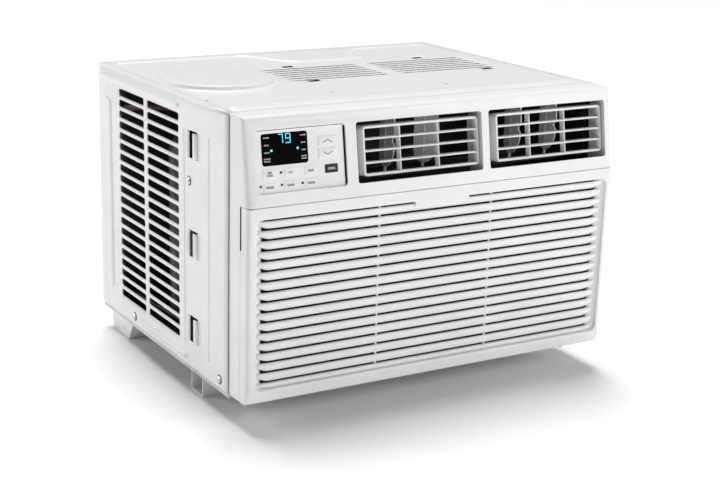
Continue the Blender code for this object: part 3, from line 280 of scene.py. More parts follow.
def new_group(name, inputs, outputs):
    """An empty shader group with named sockets, and its input and output nodes."""
    group = bpy.data.node_groups.new(name, "ShaderNodeTree")
    for label, kind, value in inputs:
        socket = group.interface.new_socket(label, in_out="INPUT", socket_type=f"NodeSocket{kind}")
        socket.default_value = value
    for label, kind in outputs:
        group.interface.new_socket(label, in_out="OUTPUT", socket_type=f"NodeSocket{kind}")
    return group, group.nodes.new("NodeGroupInput"), group.nodes.new("NodeGroupOutput")


def add_node(tree, kind, links=None, **values):
    """A node with its properties set, and its input sockets linked or given a value."""
    node = tree.nodes.new(kind)
    for label, value in values.items():
        setattr(node, label, value)
    for label, source in (links or {}).items():
        if isinstance(source, bpy.types.NodeSocket):
            tree.links.new(source, node.inputs[label])
        else:
            node.inputs[label].default_value = source
    return node


def make_skin_group():
    """Mottling and a fine skin: slow noise shifts colour and gloss, fast noise makes the bump."""
    group, given, out = new_group(
        "uneven_skin",
        [("Colour", "Color", (0.8, 0.8, 0.8, 1)), ("Dull Colour", "Color", (0.7, 0.7, 0.7, 1)),
         ("Skin Scale", "Float", 900.0), ("Skin Height", "Float", 0.05),
         ("Gloss Low", "Float", 0.3), ("Gloss High", "Float", 0.4)],
        [("Colour", "Color"), ("Roughness", "Float"), ("Normal", "Vector")])
    place = add_node(group, "ShaderNodeTexCoord").outputs["Object"]
    slow = add_node(group, "ShaderNodeTexNoise", {"Vector": place, "Scale": 14.0, "Detail": 3.0})
    fast = add_node(group, "ShaderNodeTexNoise", {"Vector": place, "Scale": given.outputs["Skin Scale"],
                                                  "Detail": 1.0})
    share = add_node(group, "ShaderNodeMapRange", {"Value": slow.outputs["Fac"], "From Min": 0.35,
                                                   "From Max": 0.65})
    colour = add_node(group, "ShaderNodeMix", {"Factor": share.outputs["Result"]}, data_type="RGBA")
    group.links.new(given.outputs["Colour"], colour.inputs["A"])
    group.links.new(given.outputs["Dull Colour"], colour.inputs["B"])
    gloss = add_node(group, "ShaderNodeMapRange", {
        "Value": slow.outputs["Fac"], "From Min": 0.3, "From Max": 0.7,
        "To Min": given.outputs["Gloss Low"], "To Max": given.outputs["Gloss High"]})
    bump = add_node(group, "ShaderNodeBump", {"Height": fast.outputs["Fac"], "Distance": 0.0002,
                                              "Strength": given.outputs["Skin Height"]})
    group.links.new(colour.outputs["Result"], out.inputs["Colour"])
    group.links.new(gloss.outputs["Result"], out.inputs["Roughness"])
    group.links.new(bump.outputs["Normal"], out.inputs["Normal"])
    return group


def make_dust_group():
    """A dust mask: patchy noise, strongest where the surface looks up."""
    group, given, out = new_group(
        "settled_dust",
        [("Colour", "Color", (0.8, 0.8, 0.8, 1)), ("Dust Colour", "Color", (0.5, 0.48, 0.45, 1)),
         ("Amount", "Float", 0.2)],
        [("Colour", "Color"), ("Mask", "Float")])
    place = add_node(group, "ShaderNodeTexCoord").outputs["Object"]
    patches = add_node(group, "ShaderNodeTexNoise", {"Vector": place, "Scale": 22.0, "Detail": 6.0})
    looks = add_node(group, "ShaderNodeSeparateXYZ",
                     {"Vector": add_node(group, "ShaderNodeNewGeometry").outputs["Normal"]})
    upward = add_node(group, "ShaderNodeMapRange", {"Value": looks.outputs["Z"], "From Min": -0.2,
                                                    "From Max": 1.0, "To Min": 0.25, "To Max": 1.0})
    both = add_node(group, "ShaderNodeMath", operation="MULTIPLY")
    group.links.new(patches.outputs["Fac"], both.inputs[0])
    group.links.new(upward.outputs["Result"], both.inputs[1])
    mask = add_node(group, "ShaderNodeMath", operation="MULTIPLY")
    group.links.new(both.outputs["Value"], mask.inputs[0])
    group.links.new(given.outputs["Amount"], mask.inputs[1])
    colour = add_node(group, "ShaderNodeMix", {"Factor": mask.outputs["Value"]}, data_type="RGBA")
    group.links.new(given.outputs["Colour"], colour.inputs["A"])
    group.links.new(given.outputs["Dust Colour"], colour.inputs["B"])
    group.links.new(colour.outputs["Result"], out.inputs["Colour"])
    group.links.new(mask.outputs["Value"], out.inputs["Mask"])
    return group


skin_group, dust_group = make_skin_group(), make_dust_group()
print("groups:", skin_group.name, dust_group.name)

# %% Materials


def new_finish(name, colour, dull, gloss, skin, metallic=0.0, dust=0.0, specular=0.5, coat=0.0):
    """A Principled material fed by the skin group, and by the dust group where dust is above 0."""
    finish = bpy.data.materials.new(name)
    finish.use_nodes = True
    tree = finish.node_tree
    shader = tree.nodes["Principled BSDF"]
    group = tree.nodes.new("ShaderNodeGroup")
    group.node_tree = skin_group
    group.inputs["Colour"].default_value = (*colour, 1)
    group.inputs["Dull Colour"].default_value = (*dull, 1)
    group.inputs["Gloss Low"].default_value, group.inputs["Gloss High"].default_value = gloss
    group.inputs["Skin Scale"].default_value, group.inputs["Skin Height"].default_value = skin
    shown = group.outputs["Colour"]
    if dust:
        dusty = tree.nodes.new("ShaderNodeGroup")
        dusty.node_tree = dust_group
        dusty.inputs["Amount"].default_value = dust
        tree.links.new(shown, dusty.inputs["Colour"])
        shown = dusty.outputs["Colour"]
    tree.links.new(shown, shader.inputs["Base Color"])
    tree.links.new(group.outputs["Roughness"], shader.inputs["Roughness"])
    tree.links.new(group.outputs["Normal"], shader.inputs["Normal"])
    shader.inputs["Metallic"].default_value = metallic
    shader.inputs["Specular IOR Level"].default_value = specular
    shader.inputs["Coat Weight"].default_value = coat
    return finish


def grey(level):
    """A neutral colour of the given level."""
    return (level, level, level)


cabinet_paint = new_finish("cabinet_paint", grey(0.83), grey(0.80), (0.34, 0.42), (1100.0, 0.10), coat=0.1)
front_plastic = new_finish("front_plastic", (0.84, 0.84, 0.835), (0.81, 0.81, 0.805), (0.36, 0.46),
                           (1500.0, 0.12))
louver_plastic = new_finish("louver_plastic", grey(0.80), grey(0.76), (0.35, 0.45), (1500.0, 0.08))
# The vanes are white plastic made lighter than the louvres' plastic: painted light, since deep in the outlet
# they get little lamp light.
vane_plastic_painted_light = new_finish("vane_plastic_painted_light", grey(0.95), grey(0.90), (0.25, 0.35), (1300.0, 0.1), coat=0.3)
# Near-black painted shade, not a lining the unit has: it goes inside sheets, slots, holes and grooves, where
# shade falls.
shade_black = new_finish("painted_shade_black", grey(0.012), grey(0.02), (0.9, 1.0), (500.0, 0.6), specular=0.1)
# The duct is grey plastic; its near-black colour here is painted shade inside the outlets.
duct_plastic_painted_shade = new_finish("duct_plastic_painted_shade", grey(0.016), grey(0.024), (0.5, 0.6), (800.0, 0.2))
filter_mesh = new_finish("filter_mesh", grey(0.012), grey(0.02), (0.7, 0.8), (700.0, 0.3), dust=0.1)
black_plastic = new_finish("black_plastic", grey(0.012), grey(0.02), (0.4, 0.5), (700.0, 0.2), dust=0.15)
black_paint = new_finish("black_paint", grey(0.012), grey(0.02), (0.3, 0.42), (600.0, 0.25), dust=0.2)
galvanised = new_finish("galvanised_steel", (0.60, 0.62, 0.64), (0.48, 0.50, 0.52), (0.32, 0.5),
                        (160.0, 0.15), metallic=1.0, dust=0.1)
screw_steel = new_finish("screw_steel", (0.62, 0.63, 0.65), (0.5, 0.51, 0.53), (0.2, 0.32), (900.0, 0.2),
                         metallic=1.0)
coil_metal = new_finish("coil_aluminium", (0.62, 0.63, 0.64), (0.45, 0.46, 0.47), (0.3, 0.45),
                        (400.0, 0.2), metallic=1.0, dust=0.25)
copper = new_finish("tarnished_copper", (0.10, 0.045, 0.028), (0.05, 0.026, 0.018), (0.4, 0.55), (500.0, 0.1),
                    metallic=0.6, dust=0.1)
rubber = new_finish("black_rubber", grey(0.018), grey(0.03), (0.7, 0.85), (900.0, 0.3))
# The foam is white; its near-black colour here is painted shade for the inside of the unit seen through the
# slots.
foam = new_finish("housing_foam_painted_shade", (0.045, 0.046, 0.048), (0.06, 0.061, 0.063), (0.8, 0.95), (260.0, 0.5))
board_green = new_finish("circuit_board", (0.01, 0.09, 0.035), (0.02, 0.13, 0.05), (0.3, 0.4), (900.0, 0.2))
dark_button = new_finish("dark_button", grey(0.016), grey(0.022), (0.4, 0.5), (1500.0, 0.1), specular=0.25)
# Dark grey painted shade for the recessed seats round the side screws.
seat_shade_grey = new_finish("screw_seat_shade", grey(0.08), grey(0.12), (0.5, 0.6), (900.0, 0.1))
print_grey = new_finish("printed_grey", grey(0.03), grey(0.04), (0.5, 0.6), (900.0, 0.1))
print_green = new_finish("printed_green", (0.06, 0.34, 0.14), (0.07, 0.38, 0.16), (0.5, 0.6), (900.0, 0.1))
print_white = new_finish("printed_white", grey(0.72), grey(0.66), (0.5, 0.6), (900.0, 0.1))
display_glass = new_finish("display_glass", grey(0.002), grey(0.003), (0.08, 0.12), (60.0, 0.0),
                           specular=0.12)


def new_glow(name, colour, strength):
    """A lit segment: the shader gives off its own light."""
    finish = new_finish(name, colour, colour, (0.3, 0.4), (900.0, 0.0))
    shader = finish.node_tree.nodes["Principled BSDF"]
    shader.inputs["Emission Color"].default_value = (*colour, 1)
    shader.inputs["Emission Strength"].default_value = strength
    return finish


cyan_glow = new_glow("lit_segment", (0.06, 0.58, 0.78), 0.85)
print("finishes:", len(bpy.data.materials))

# %% [markdown]
# ## Camera, floor and light
# The camera stands in front of the unit, a little above it and to its left, with a long lens. The
# floor is a wide pale sheet. A very wide sun overhead lights the top and the whole floor evenly and
# leaves a soft shadow. One panel lights the front from the right and another the left side from
# behind, so the rounded corner between them, which faces the camera, stays the darkest. A weak low
# panel on the left gives that corner its soft edge.

# %% Camera
CAMERA_PLACE = Vector((-1.0374, -1.75065, 0.7262))
CAMERA_TURN, CAMERA_DIP, CAMERA_ROLL = 0.509, 0.281, 0.018
camera = bpy.data.objects.new("camera", bpy.data.cameras.new("camera"))
forward = Vector((math.sin(CAMERA_TURN) * math.cos(CAMERA_DIP), math.cos(CAMERA_TURN) * math.cos(CAMERA_DIP),
                  -math.sin(CAMERA_DIP)))
right = Vector((math.cos(CAMERA_TURN), -math.sin(CAMERA_TURN), 0))
up = right.cross(forward)
right, up = (math.cos(CAMERA_ROLL) * right + math.sin(CAMERA_ROLL) * up,
             math.cos(CAMERA_ROLL) * up - math.sin(CAMERA_ROLL) * right)
facing = Matrix((right, up, -forward)).transposed().to_4x4()
camera.matrix_world = Matrix.Translation(CAMERA_PLACE) @ facing
camera.data.lens = 73.44
camera.data.shift_x, camera.data.shift_y = 0.0710, 0.0176
bpy.context.scene.collection.objects.link(camera)
bpy.context.scene.camera = camera

# %% Floor and lights


def make_floor():
    """A flat pale sheet, far wider than the unit."""
    reach = 12.0
    lines = np.linspace(-reach, reach, 3)
    x, y = np.meshgrid(lines, lines)
    mesh = bpy.data.meshes.new("floor")
    mesh.from_pydata(np.stack([x, y, 0 * x], axis=-1).reshape(-1, 3).tolist(), [],
                     grid_faces(3, 3, 0).tolist())
    floor = bpy.data.objects.new("floor", mesh)
    bpy.context.scene.collection.objects.link(floor)
    paper = new_finish("floor_paper", grey(0.94), grey(0.93), (0.8, 0.9), (300.0, 0.02), specular=0.2)
    mesh.materials.append(paper)


def add_panel_light(name, place, target, size, power, colour=(1, 1, 1)):
    """A square soft light at a place, facing a target."""
    light = bpy.data.lights.new(name, "AREA")
    light.size, light.energy, light.color = size, power, colour
    lamp = bpy.data.objects.new(name, light)
    lamp.location = place
    lamp.rotation_euler = (Vector(target) - Vector(place)).to_track_quat("-Z", "Y").to_euler()
    bpy.context.scene.collection.objects.link(lamp)


make_floor()
add_panel_light("front_panel", (2.3, -2.6, 1.3), (0, 0, 0.2), 1.3, 58)
add_panel_light("left_panel", (-2.6, 2.2, 1.1), (0, 0, 0.2), 1.3, 34)
add_panel_light("low_left_panel", (-1.9, -2.3, 0.35), (0, 0, 0.33), 0.8, 2.5)
sky_panel = bpy.data.lights.new("overhead_sun", "SUN")
sky_panel.energy, sky_panel.angle = 3.0, math.radians(34)
sky_lamp = bpy.data.objects.new("overhead_sun", sky_panel)
sky_lamp.rotation_euler = (math.radians(-20), math.radians(4), 0)
bpy.context.scene.collection.objects.link(sky_lamp)


def make_surround():
    """A white surround that the camera sees at full strength and the unit at a fraction of it."""
    surround = bpy.data.worlds.new("surround")
    surround.use_nodes = True
    tree = surround.node_tree
    seen = add_node(tree, "ShaderNodeLightPath").outputs["Is Camera Ray"]
    strength = add_node(tree, "ShaderNodeMapRange", {"Value": seen, "To Min": 0.16, "To Max": 1.0})
    background = tree.nodes["Background"]
    background.inputs["Color"].default_value = (1, 1, 1, 1)
    tree.links.new(strength.outputs["Result"], background.inputs["Strength"])
    bpy.context.scene.world = surround


make_surround()
bpy.context.scene.view_settings.view_transform = "Standard"
print("camera", tuple(round(v, 3) for v in camera.location))

# %% [markdown]
# ## The cabinet's sides
# Each side is one pressed sheet with two columns of round-ended slots. A grid can hold the slots
# exactly: its rows follow the slots' edges, its columns bend round their ends, and the cells inside
# a slot are left out. Solidify then gives the sheet its thickness, so that every slot has a real rim.

# %% Side sheets
SLOT_ROWS, SLOT_PITCH, SLOT_FIRST, SLOT_TALL = 20, 15.45 * MM, 36.1 * MM, 10.2 * MM
SLOT_COLUMNS = ((146 * MM, 249.5 * MM), (261 * MM, 350 * MM))
SLOT_CORNER = 3.2 * MM
TAB_MIDDLES = (54 * MM, 170.5 * MM, 301 * MM)
TAB_TALL, TAB_Y = 36 * MM, (88 * MM, 113 * MM)
SHEET = 1.2 * MM
CABINET_CORNER = 4 * MM
slot_middles = SLOT_FIRST + SLOT_PITCH * np.arange(SLOT_ROWS)


def corner_shift(z):
    """How far a slot's end draws in at height z: r(1 - cos a) round a corner, where r sin a is the
    height into that corner."""
    away = np.abs(z[:, None] - slot_middles).min(axis=1)
    into = np.clip((away - (SLOT_TALL / 2 - SLOT_CORNER)) / SLOT_CORNER, 0, 1)
    reached = (z > slot_middles[0] - SLOT_TALL) & (z < slot_middles[-1] + SLOT_TALL)
    return SLOT_CORNER * (1 - np.sqrt(1 - into ** 2)) * reached


def side_point(side):
    """Turns depth, height and rise into places on the left (-1) or right (1) side."""
    def place(y, z, rise=0.0):
        y, z, rise = np.broadcast_arrays(y, z, rise)
        return np.stack([side * (HALF + rise), FRONT_Y + y, BASE_Z + z], axis=-1)
    return place


def side_sheet():
    """Depths, heights and the mask of kept cells of one slotted side."""
    corner = SLOT_TALL / 2 - SLOT_CORNER
    turns = np.radians([0, 30, 60, 90])
    edges = np.concatenate([-corner - SLOT_CORNER * np.sin(turns), corner + SLOT_CORNER * np.sin(turns)])
    tab_edges = [m + s * TAB_TALL / 2 for m in TAB_MIDDLES for s in (-1, 1)]
    top = TOP_Z - BASE_Z - CABINET_CORNER
    slot_edges = (slot_middles[:, None] + edges).ravel()
    z = marks_at(np.concatenate([slot_edges, tab_edges, [0, 2 * MM, top]]), 16 * MM)
    ends = [end for column in SLOT_COLUMNS for end in column]
    beside = [end + step for end in ends for step in (-4 * MM, 4 * MM)]
    y = marks_at([0, *TAB_Y, *ends, *beside, CABINET_DEPTH], 14 * MM)
    depth, height = np.meshgrid(y, z)
    shift = corner_shift(z)[:, None]
    for low, high in SLOT_COLUMNS:
        depth = depth + shift * (np.abs(y - low) < 0.1 * MM) - shift * (np.abs(y - high) < 0.1 * MM)
    y_mid, z_mid = (y[1:] + y[:-1]) / 2, (z[1:] + z[:-1]) / 2
    in_slot = np.abs(z_mid[:, None] - slot_middles).min(axis=1) < SLOT_TALL / 2
    in_column = np.any([(y_mid > low) & (y_mid < high) for low, high in SLOT_COLUMNS], axis=0)
    in_tab = np.any([np.abs(z_mid - m) < TAB_TALL / 2 for m in TAB_MIDDLES], axis=0)
    in_tab_column = (y_mid > TAB_Y[0]) & (y_mid < TAB_Y[1])
    hole = (in_slot[:, None] & in_column) | (in_tab[:, None] & in_tab_column)
    return depth, height, ~hole


def corner_roll(side):
    """The bend from a side to the top: a quarter circle carried along the depth."""
    turns = np.radians(np.linspace(0, 90, 9))
    y = np.linspace(0, CABINET_DEPTH, 9)
    angle, depth = np.meshgrid(turns, y)
    x = side * (HALF - CABINET_CORNER + CABINET_CORNER * np.cos(angle))
    z = TOP_Z - CABINET_CORNER + CABINET_CORNER * np.sin(angle)
    return np.stack([x, FRONT_Y + depth, z], axis=-1)


inside_cabinet = (0.0, FRONT_Y + CABINET_DEPTH / 2, (BASE_Z + TOP_Z) / 2)
for side, label in ((-1, "left"), (1, "right")):
    depth, height, kept = side_sheet()
    sheet = side_point(side)(depth, height)
    make_piece(f"cabinet_side_{label}", [(sheet, kept), corner_roll(side)], cabinet_paint, "cabinet",
               "cabinet_paint", ("cabinet_wrap",), wall=SHEET, closed=False, centre=inside_cabinet)
print("side slots:", SLOT_ROWS * len(SLOT_COLUMNS), "on each side")

# %% [markdown]
# ## Beads, ridges and tabs on the sides
# Pressed beads stiffen a thin sheet. A bead is a stack of rounded rings that climb from the sheet
# with a smooth foot. The narrow ridges are the same shape, only thinner. At each window a tab is
# bent outwards: it is what the curtain frames hook on.

# %% Side beads


def pressed(place, bounds, radius, height, run, per_side=8):
    """A raised shape: rings climb by an s-curve over `run`, then close flat at the middle line."""
    low_a, high_a, low_b, high_b = bounds
    half = min(high_a - low_a, high_b - low_b) / 2
    steps = rounded_rise(height, min(run, half * 0.95)) + [(half, height)]
    rings = [ring(low_a, high_a, low_b, high_b, radius, inset, per_side) for inset, _ in steps]
    grid = np.stack(rings)
    rises = np.array([rise for _, rise in steps])[:, None]
    return place(grid[..., 0], grid[..., 1], rises)


SIDE_BEADS = (
    ((143, 413.5, 339, 350), 5.5, 3.6, 5.2),
    ((119, 281, 6, 18), 6.0, 3.8, 5.6),
    ((379, 404, 31, 317), 10.0, 2.2, 3.2),
    ((126.7, 130.3, 28, 319), 1.8, 1.1, 1.7),
    ((52.7, 56.3, 25, 319), 1.8, 1.1, 1.7),
)
for side, label in ((-1, "left"), (1, "right")):
    place = side_point(side)
    beads = [pressed(place, tuple(v * MM for v in bounds), radius * MM, height * MM, run * MM)
             for bounds, radius, height, run in SIDE_BEADS]
    make_piece(f"side_beads_{label}", beads, cabinet_paint, "cabinet", "cabinet_paint", closed=False,
               centre=inside_cabinet)


def side_tab(place, middle):
    """A bent tab: its profile leaves the sheet at the front, bows out and ends free over the hole."""
    share = np.linspace(0, 1, 9)
    z = middle + np.linspace(-0.5, 0.5, 5) * (TAB_TALL - 3 * MM)
    s, height = np.meshgrid(share, z)
    y = TAB_Y[0] - 0.5 * MM + 8 * MM * s
    rise = 3.2 * MM * np.sin(np.minimum(s * 2.2, 1) * math.pi / 2) + 0.2 * MM
    return place(y, height, rise)


for side, label in ((-1, "left"), (1, "right")):
    tabs = [side_tab(side_point(side), middle) for middle in TAB_MIDDLES]
    make_piece(f"side_tabs_{label}", tabs, cabinet_paint, "cabinet", "cabinet_paint", wall=SHEET,
               closed=False, centre=inside_cabinet)

# %% [markdown]
# ## The cabinet's top
# The top carries a round raised pad over the compressor, two fields of low louvres, a stiffening
# bead along the front and a line that steps round the middle of the rear edge. The flat sheet is a
# grid with the openings left out. The pressed shapes lie on it, each with a smooth foot.

# %% Top sheet
VENT_FIELDS = ((-102 * MM, 55 * MM), (74 * MM, 234 * MM))
VENT_ROWS, VENT_PITCH, VENT_FIRST, VENT_RUN = 7, 15.5 * MM, 172 * MM, 9 * MM
VENT_RISE, VENT_LIFT, VENT_END = 0.9 * MM, 0.25 * MM, 6 * MM
HOOK_HOLES = ((-47, 286), (-70.5, 165), (174, 287), (214, 163))
HOOK_SIZE = (19 * MM, 14 * MM)
TOP_HOLES = ((-268, 85), (-93, 75), (83, 73), (272, 87))


def top_point(x, y, rise=0.0):
    """Places on the top: across, depth and rise."""
    x, y, rise = np.broadcast_arrays(x, y, rise)
    return np.stack([x, FRONT_Y + y, TOP_Z + rise], axis=-1)


def box_holes():
    """The openings in the top as (low x, high x, low y, high y): hook holes, then louvre mouths."""
    wide, deep = HOOK_SIZE
    for x, y in HOOK_HOLES:
        yield x * MM - wide / 2, x * MM + wide / 2, y * MM - deep / 2, y * MM + deep / 2
    for low, high in VENT_FIELDS:
        for row in range(VENT_ROWS):
            front = VENT_FIRST + row * VENT_PITCH
            yield low + 5 * MM, high - 5 * MM, front + VENT_RUN * 0.15, front + VENT_RUN * 0.6


holes = list(box_holes())
flat = HALF - CABINET_CORNER
x_lines = marks_at([-flat, flat] + [edge for hole in holes for edge in hole[:2]], 20 * MM)
y_lines = marks_at([0, CABINET_DEPTH] + [edge for hole in holes for edge in hole[2:]], 20 * MM)
x_mid, y_mid = (x_lines[1:] + x_lines[:-1]) / 2, (y_lines[1:] + y_lines[:-1]) / 2
open_cells = np.zeros((len(y_mid), len(x_mid)), bool)
for low_x, high_x, low_y, high_y in holes:
    open_cells |= ((y_mid > low_y) & (y_mid < high_y))[:, None] & ((x_mid > low_x) & (x_mid < high_x))
across, back = np.meshgrid(x_lines, y_lines)
make_piece("cabinet_top", [(top_point(across, back), ~open_cells)], cabinet_paint, "cabinet", "cabinet_paint",
           ("cabinet_wrap",), wall=SHEET, closed=False, centre=inside_cabinet)
print("openings in the top:", len(holes))

# %% Top pressings
DISC_CENTRE, DISC_RADIUS, DISC_RISE = (-192 * MM, 212 * MM), 78 * MM, 5.4 * MM


def disc_pad():
    """The round pad: circles climb over a steep rim, then rise gently to the middle."""
    turns = np.radians(np.linspace(0, 360, 97))
    rim = rounded_rise(DISC_RISE, 5 * MM, 6)
    inner = [(DISC_RADIUS * share, DISC_RISE + 0.8 * MM * share) for share in (0.15, 0.35, 0.6, 0.85, 1.0)]
    radii = np.array([DISC_RADIUS - inset for inset, _ in rim + inner])[:, None]
    rises = np.array([rise for _, rise in rim + inner])[:, None]
    return top_point(DISC_CENTRE[0] + radii * np.cos(turns), DISC_CENTRE[1] + radii * np.sin(turns), rises)


def vent_blade(low, high, front):
    """A louvre blade: its mouth faces the front, it falls to the sheet towards the rear by a quarter
    cosine, and its ends taper down as the square root of the distance from the end."""
    keys = [low, low + VENT_END, high - VENT_END, high]
    x, share = np.meshgrid(marks_at(keys, 8 * MM), np.linspace(0, 1, 7))
    ends = np.clip(np.minimum(x - low, high - x) / VENT_END, 0, 1) ** 0.5
    rise = VENT_LIFT + VENT_RISE * np.cos(share * math.pi / 2) * ends
    return top_point(x, front + VENT_RUN * share, rise)


def rounded_path(points, radius, steps=6):
    """A path through the points with each inner corner drawn as a smooth quadratic turn."""
    points = [np.array(point) for point in points]
    path = [points[0]]
    for before, corner, after in zip(points, points[1:], points[2:]):
        start = corner + (before - corner) / np.linalg.norm(before - corner) * radius
        stop = corner + (after - corner) / np.linalg.norm(after - corner) * radius
        share = np.linspace(0, 1, steps)[:, None]
        path.extend((1 - share) ** 2 * start + 2 * share * (1 - share) * corner + share ** 2 * stop)
    return np.array(path + [points[-1]])


REAR_LINE = ((-262, 404), (-60, 404), (-20, 322), (96, 318), (112, 345), (124, 404), (262, 404))
ridge_across = np.linspace(-2.6, 2.6, 7) * MM
ridge_rises = 1.6 * MM * np.cos(ridge_across / (2.6 * MM) * math.pi / 2) ** 2
blades = [vent_blade(low, high, VENT_FIRST + row * VENT_PITCH)
          for low, high in VENT_FIELDS for row in range(VENT_ROWS)]
rear_path = rounded_path([(x * MM, y * MM) for x, y in REAR_LINE], 14 * MM)
make_piece("top_pressings", [
    disc_pad(),
    pressed(top_point, (-268 * MM, 268 * MM, 21 * MM, 39 * MM), 9 * MM, 1.9 * MM, 3.0 * MM, per_side=24),
    path_strip(rear_path, ridge_across, ridge_rises, top_point),
], cabinet_paint, "cabinet", "cabinet_paint", closed=False, centre=inside_cabinet)
make_piece("top_louver_blades", blades, cabinet_paint, "cabinet", "cabinet_paint", wall=0.6 * MM,
           closed=False, centre=inside_cabinet)


CUP_DEPTH = 0.12 * MM


def small_cup(place, a, b, radius, depth):
    """A shallow dark hole, painted shade: circles go down a short wall and close at the bottom."""
    turns = np.radians(np.linspace(0, 360, 17))
    radii = np.array([radius, radius * 0.9, 0])[:, None]
    rises = np.array([0.15 * MM, depth, depth])[:, None]
    return place(a + radii * np.cos(turns), b + radii * np.sin(turns), rises)


SHADE_PLATE_MARGIN, SHADE_PLATE_DEPTH = 2 * MM, 2.2 * MM


def hook_shade_plate(x, y):
    """A dark plate under a hook hole: painted shade, so that the hole reads as deep."""
    wide, deep = (size / 2 + SHADE_PLATE_MARGIN for size in HOOK_SIZE)
    outline = ring(x - wide, x + wide, y - deep, y + deep, SHADE_PLATE_MARGIN, per_side=2)
    edge = top_point(outline[:, 0], outline[:, 1], -SHADE_PLATE_DEPTH)
    return np.stack([edge, middle_of(edge)])


hook_shades = [hook_shade_plate(x * MM, y * MM) for x, y in HOOK_HOLES]
make_piece("hook_hole_shades", hook_shades, shade_black, "cabinet", "cabinet_paint", closed=False, centre=inside_cabinet)
# Near-black cups in the top's screw holes: painted shade inside the holes.
screw_holes = [small_cup(top_point, x * MM, y * MM, 1.6 * MM, CUP_DEPTH) for x, y in TOP_HOLES]
make_piece("top_screw_holes", screw_holes, shade_black, "cabinet", "cabinet_paint", closed=False,
           centre=inside_cabinet)

# %% Screw seats and finger grooves
SEAT_RADIUS = 6.6 * MM


def screw_seat_shade(node):
    """A small dark ring in the sheet round a side screw: painted shade of the screw's recessed seat."""
    low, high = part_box(node)
    middle = (low + high) / 2
    place = side_point(math.copysign(1, middle.x))
    return small_cup(place, middle.y - FRONT_Y, middle.z - BASE_Z, SEAT_RADIUS, CUP_DEPTH)


def finger_groove(side):
    """A narrow dark plate down the front's side: painted shade of the groove where a finger draws the grille
    forwards.
    """
    outline = ring(-33.4 * MM, -29.9 * MM, 196 * MM, 251 * MM, 1.6 * MM, per_side=2)
    edge = np.stack([np.full(len(outline), side * (bezel_high.x + 0.12 * MM)), FRONT_Y + outline[:, 0],
                     BASE_Z + outline[:, 1]], axis=1)
    return np.stack([edge, middle_of(edge)])


seats = [screw_seat_shade(node) for node in frame["nodes"] if "side_screw" in node]
make_piece("screw_seats", seats, seat_shade_grey, "cabinet", "cabinet_paint", closed=False, centre=inside_cabinet)
make_piece("finger_groove_shades", [finger_groove(-1), finger_groove(1)], shade_black, "grille", "front_plastic",
           closed=False, centre=inside_cabinet)
print("screw seats:", len(seats))

# %% [markdown]
# ## The front bezel and other CAD shapes
# The bezel's outline is exact already, so a copy of its mesh is enough: its loose triangles are
# merged, and a bevel rounds each edge so that it catches the light as moulded plastic does. The
# feet, the rail, the pan and the small parts are finished the same way.

# %% Softened pieces
SOFT_NODES = {
    "front_bezel": (1.0, front_plastic, "front_plastic"),
    "control_panel": (0.4, front_plastic, "front_plastic"),
    "base_pan": (0.0, galvanised, "galvanised_steel"),
    "rear_guard": (0.0, cabinet_paint, "cabinet_paint"),
    "rear_foot_left": (1.2, cabinet_paint, "cabinet_paint"),
    "rear_foot_right": (1.2, cabinet_paint, "cabinet_paint"),
    "sill_rail": (0.5, cabinet_paint, "galvanised_steel"),
    "outlet_duct": (0.4, duct_plastic_painted_shade, "grey_plastic"),
    "compressor": (0.0, black_paint, "black_paint"),
    "accumulator": (0.0, black_paint, "black_paint"),
    "fan_motor": (0.0, black_paint, "black_paint"),
    "condenser_fan": (0.0, black_plastic, "black_plastic"),
    "drain_plug": (0.0, rubber, "black_rubber"),
    "cord_gland": (0.0, rubber, "black_rubber"),
    "suction_pipe": (0.0, rubber, "copper_tube"),
    "discharge_pipe": (0.0, copper, "copper_tube"),
    "display_window": (0.4, display_glass, "display_glass"),
}
for node, (radius, finish, slot) in SOFT_NODES.items():
    softened(node, radius * MM, finish, slot)

# %% Finishes of the nodes that stay as they are
NODE_FINISHES = {
    "cabinet_paint": cabinet_paint, "front_plastic": front_plastic, "louver_plastic": louver_plastic,
    "galvanised_steel": galvanised, "shaft_steel": screw_steel, "screw_steel": screw_steel,
    "grey_plastic": duct_plastic_painted_shade, "black_plastic": black_plastic, "black_paint": black_paint,
    "coil_fins": coil_metal, "capacitor_can": coil_metal, "copper_tube": copper, "black_rubber": rubber,
    "display_glass": display_glass, "circuit_board": board_green, "white_foam": foam,
    "button_cap": front_plastic, "button_power_cap": dark_button,
}
# Black on the bulkhead, fan shroud and motor bracket is painted shade, so that the side slots read dark.
SHADE_AND_FINISH_OVERRIDES = {"air_filter": filter_mesh, "bulkhead": black_paint, "fan_shroud": black_plastic,
                "motor_bracket": black_paint, "blower_housing": foam}
slot_of = {part["node"]: part["material_slot"] for part in frame["record"]["subparts"]}
for node, piece in frame["nodes"].items():
    piece.data.materials.clear()
    piece.data.materials.append(SHADE_AND_FINISH_OVERRIDES.get(node, NODE_FINISHES[slot_of[node]]))

# %% [markdown]
# ## The intake grille
# The lower front is one moulding: a border with round edges, a chin that slants back at its foot and
# a field of bars that bow back at both ends. The border is a stack of rounded rings, from the back
# edge round the outside, across the face and down into the recess. Every bar is one profile carried
# along a path that is straight in the middle and turns back at the ends.

# %% Grille border
grille_low, grille_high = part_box("intake_grille")
GRILLE_BACK = grille_high.y
CHIN_TALL, CHIN_SLANT, EDGE_ROUND = 15 * MM, 5 * MM, 6 * MM
RECESS = (-268 * MM, 269 * MM, 55.4 * MM, 274.2 * MM)
RECESS_ROUND, RECESS_DEEP, RECESS_LIP = 9 * MM, 9 * MM, 1.5 * MM
BOWL_RUN = 13 * MM
FOOT_CHAMFER = 2.2 * MM
FACE_LOW_Y = grille_low.y + 1.5 * MM


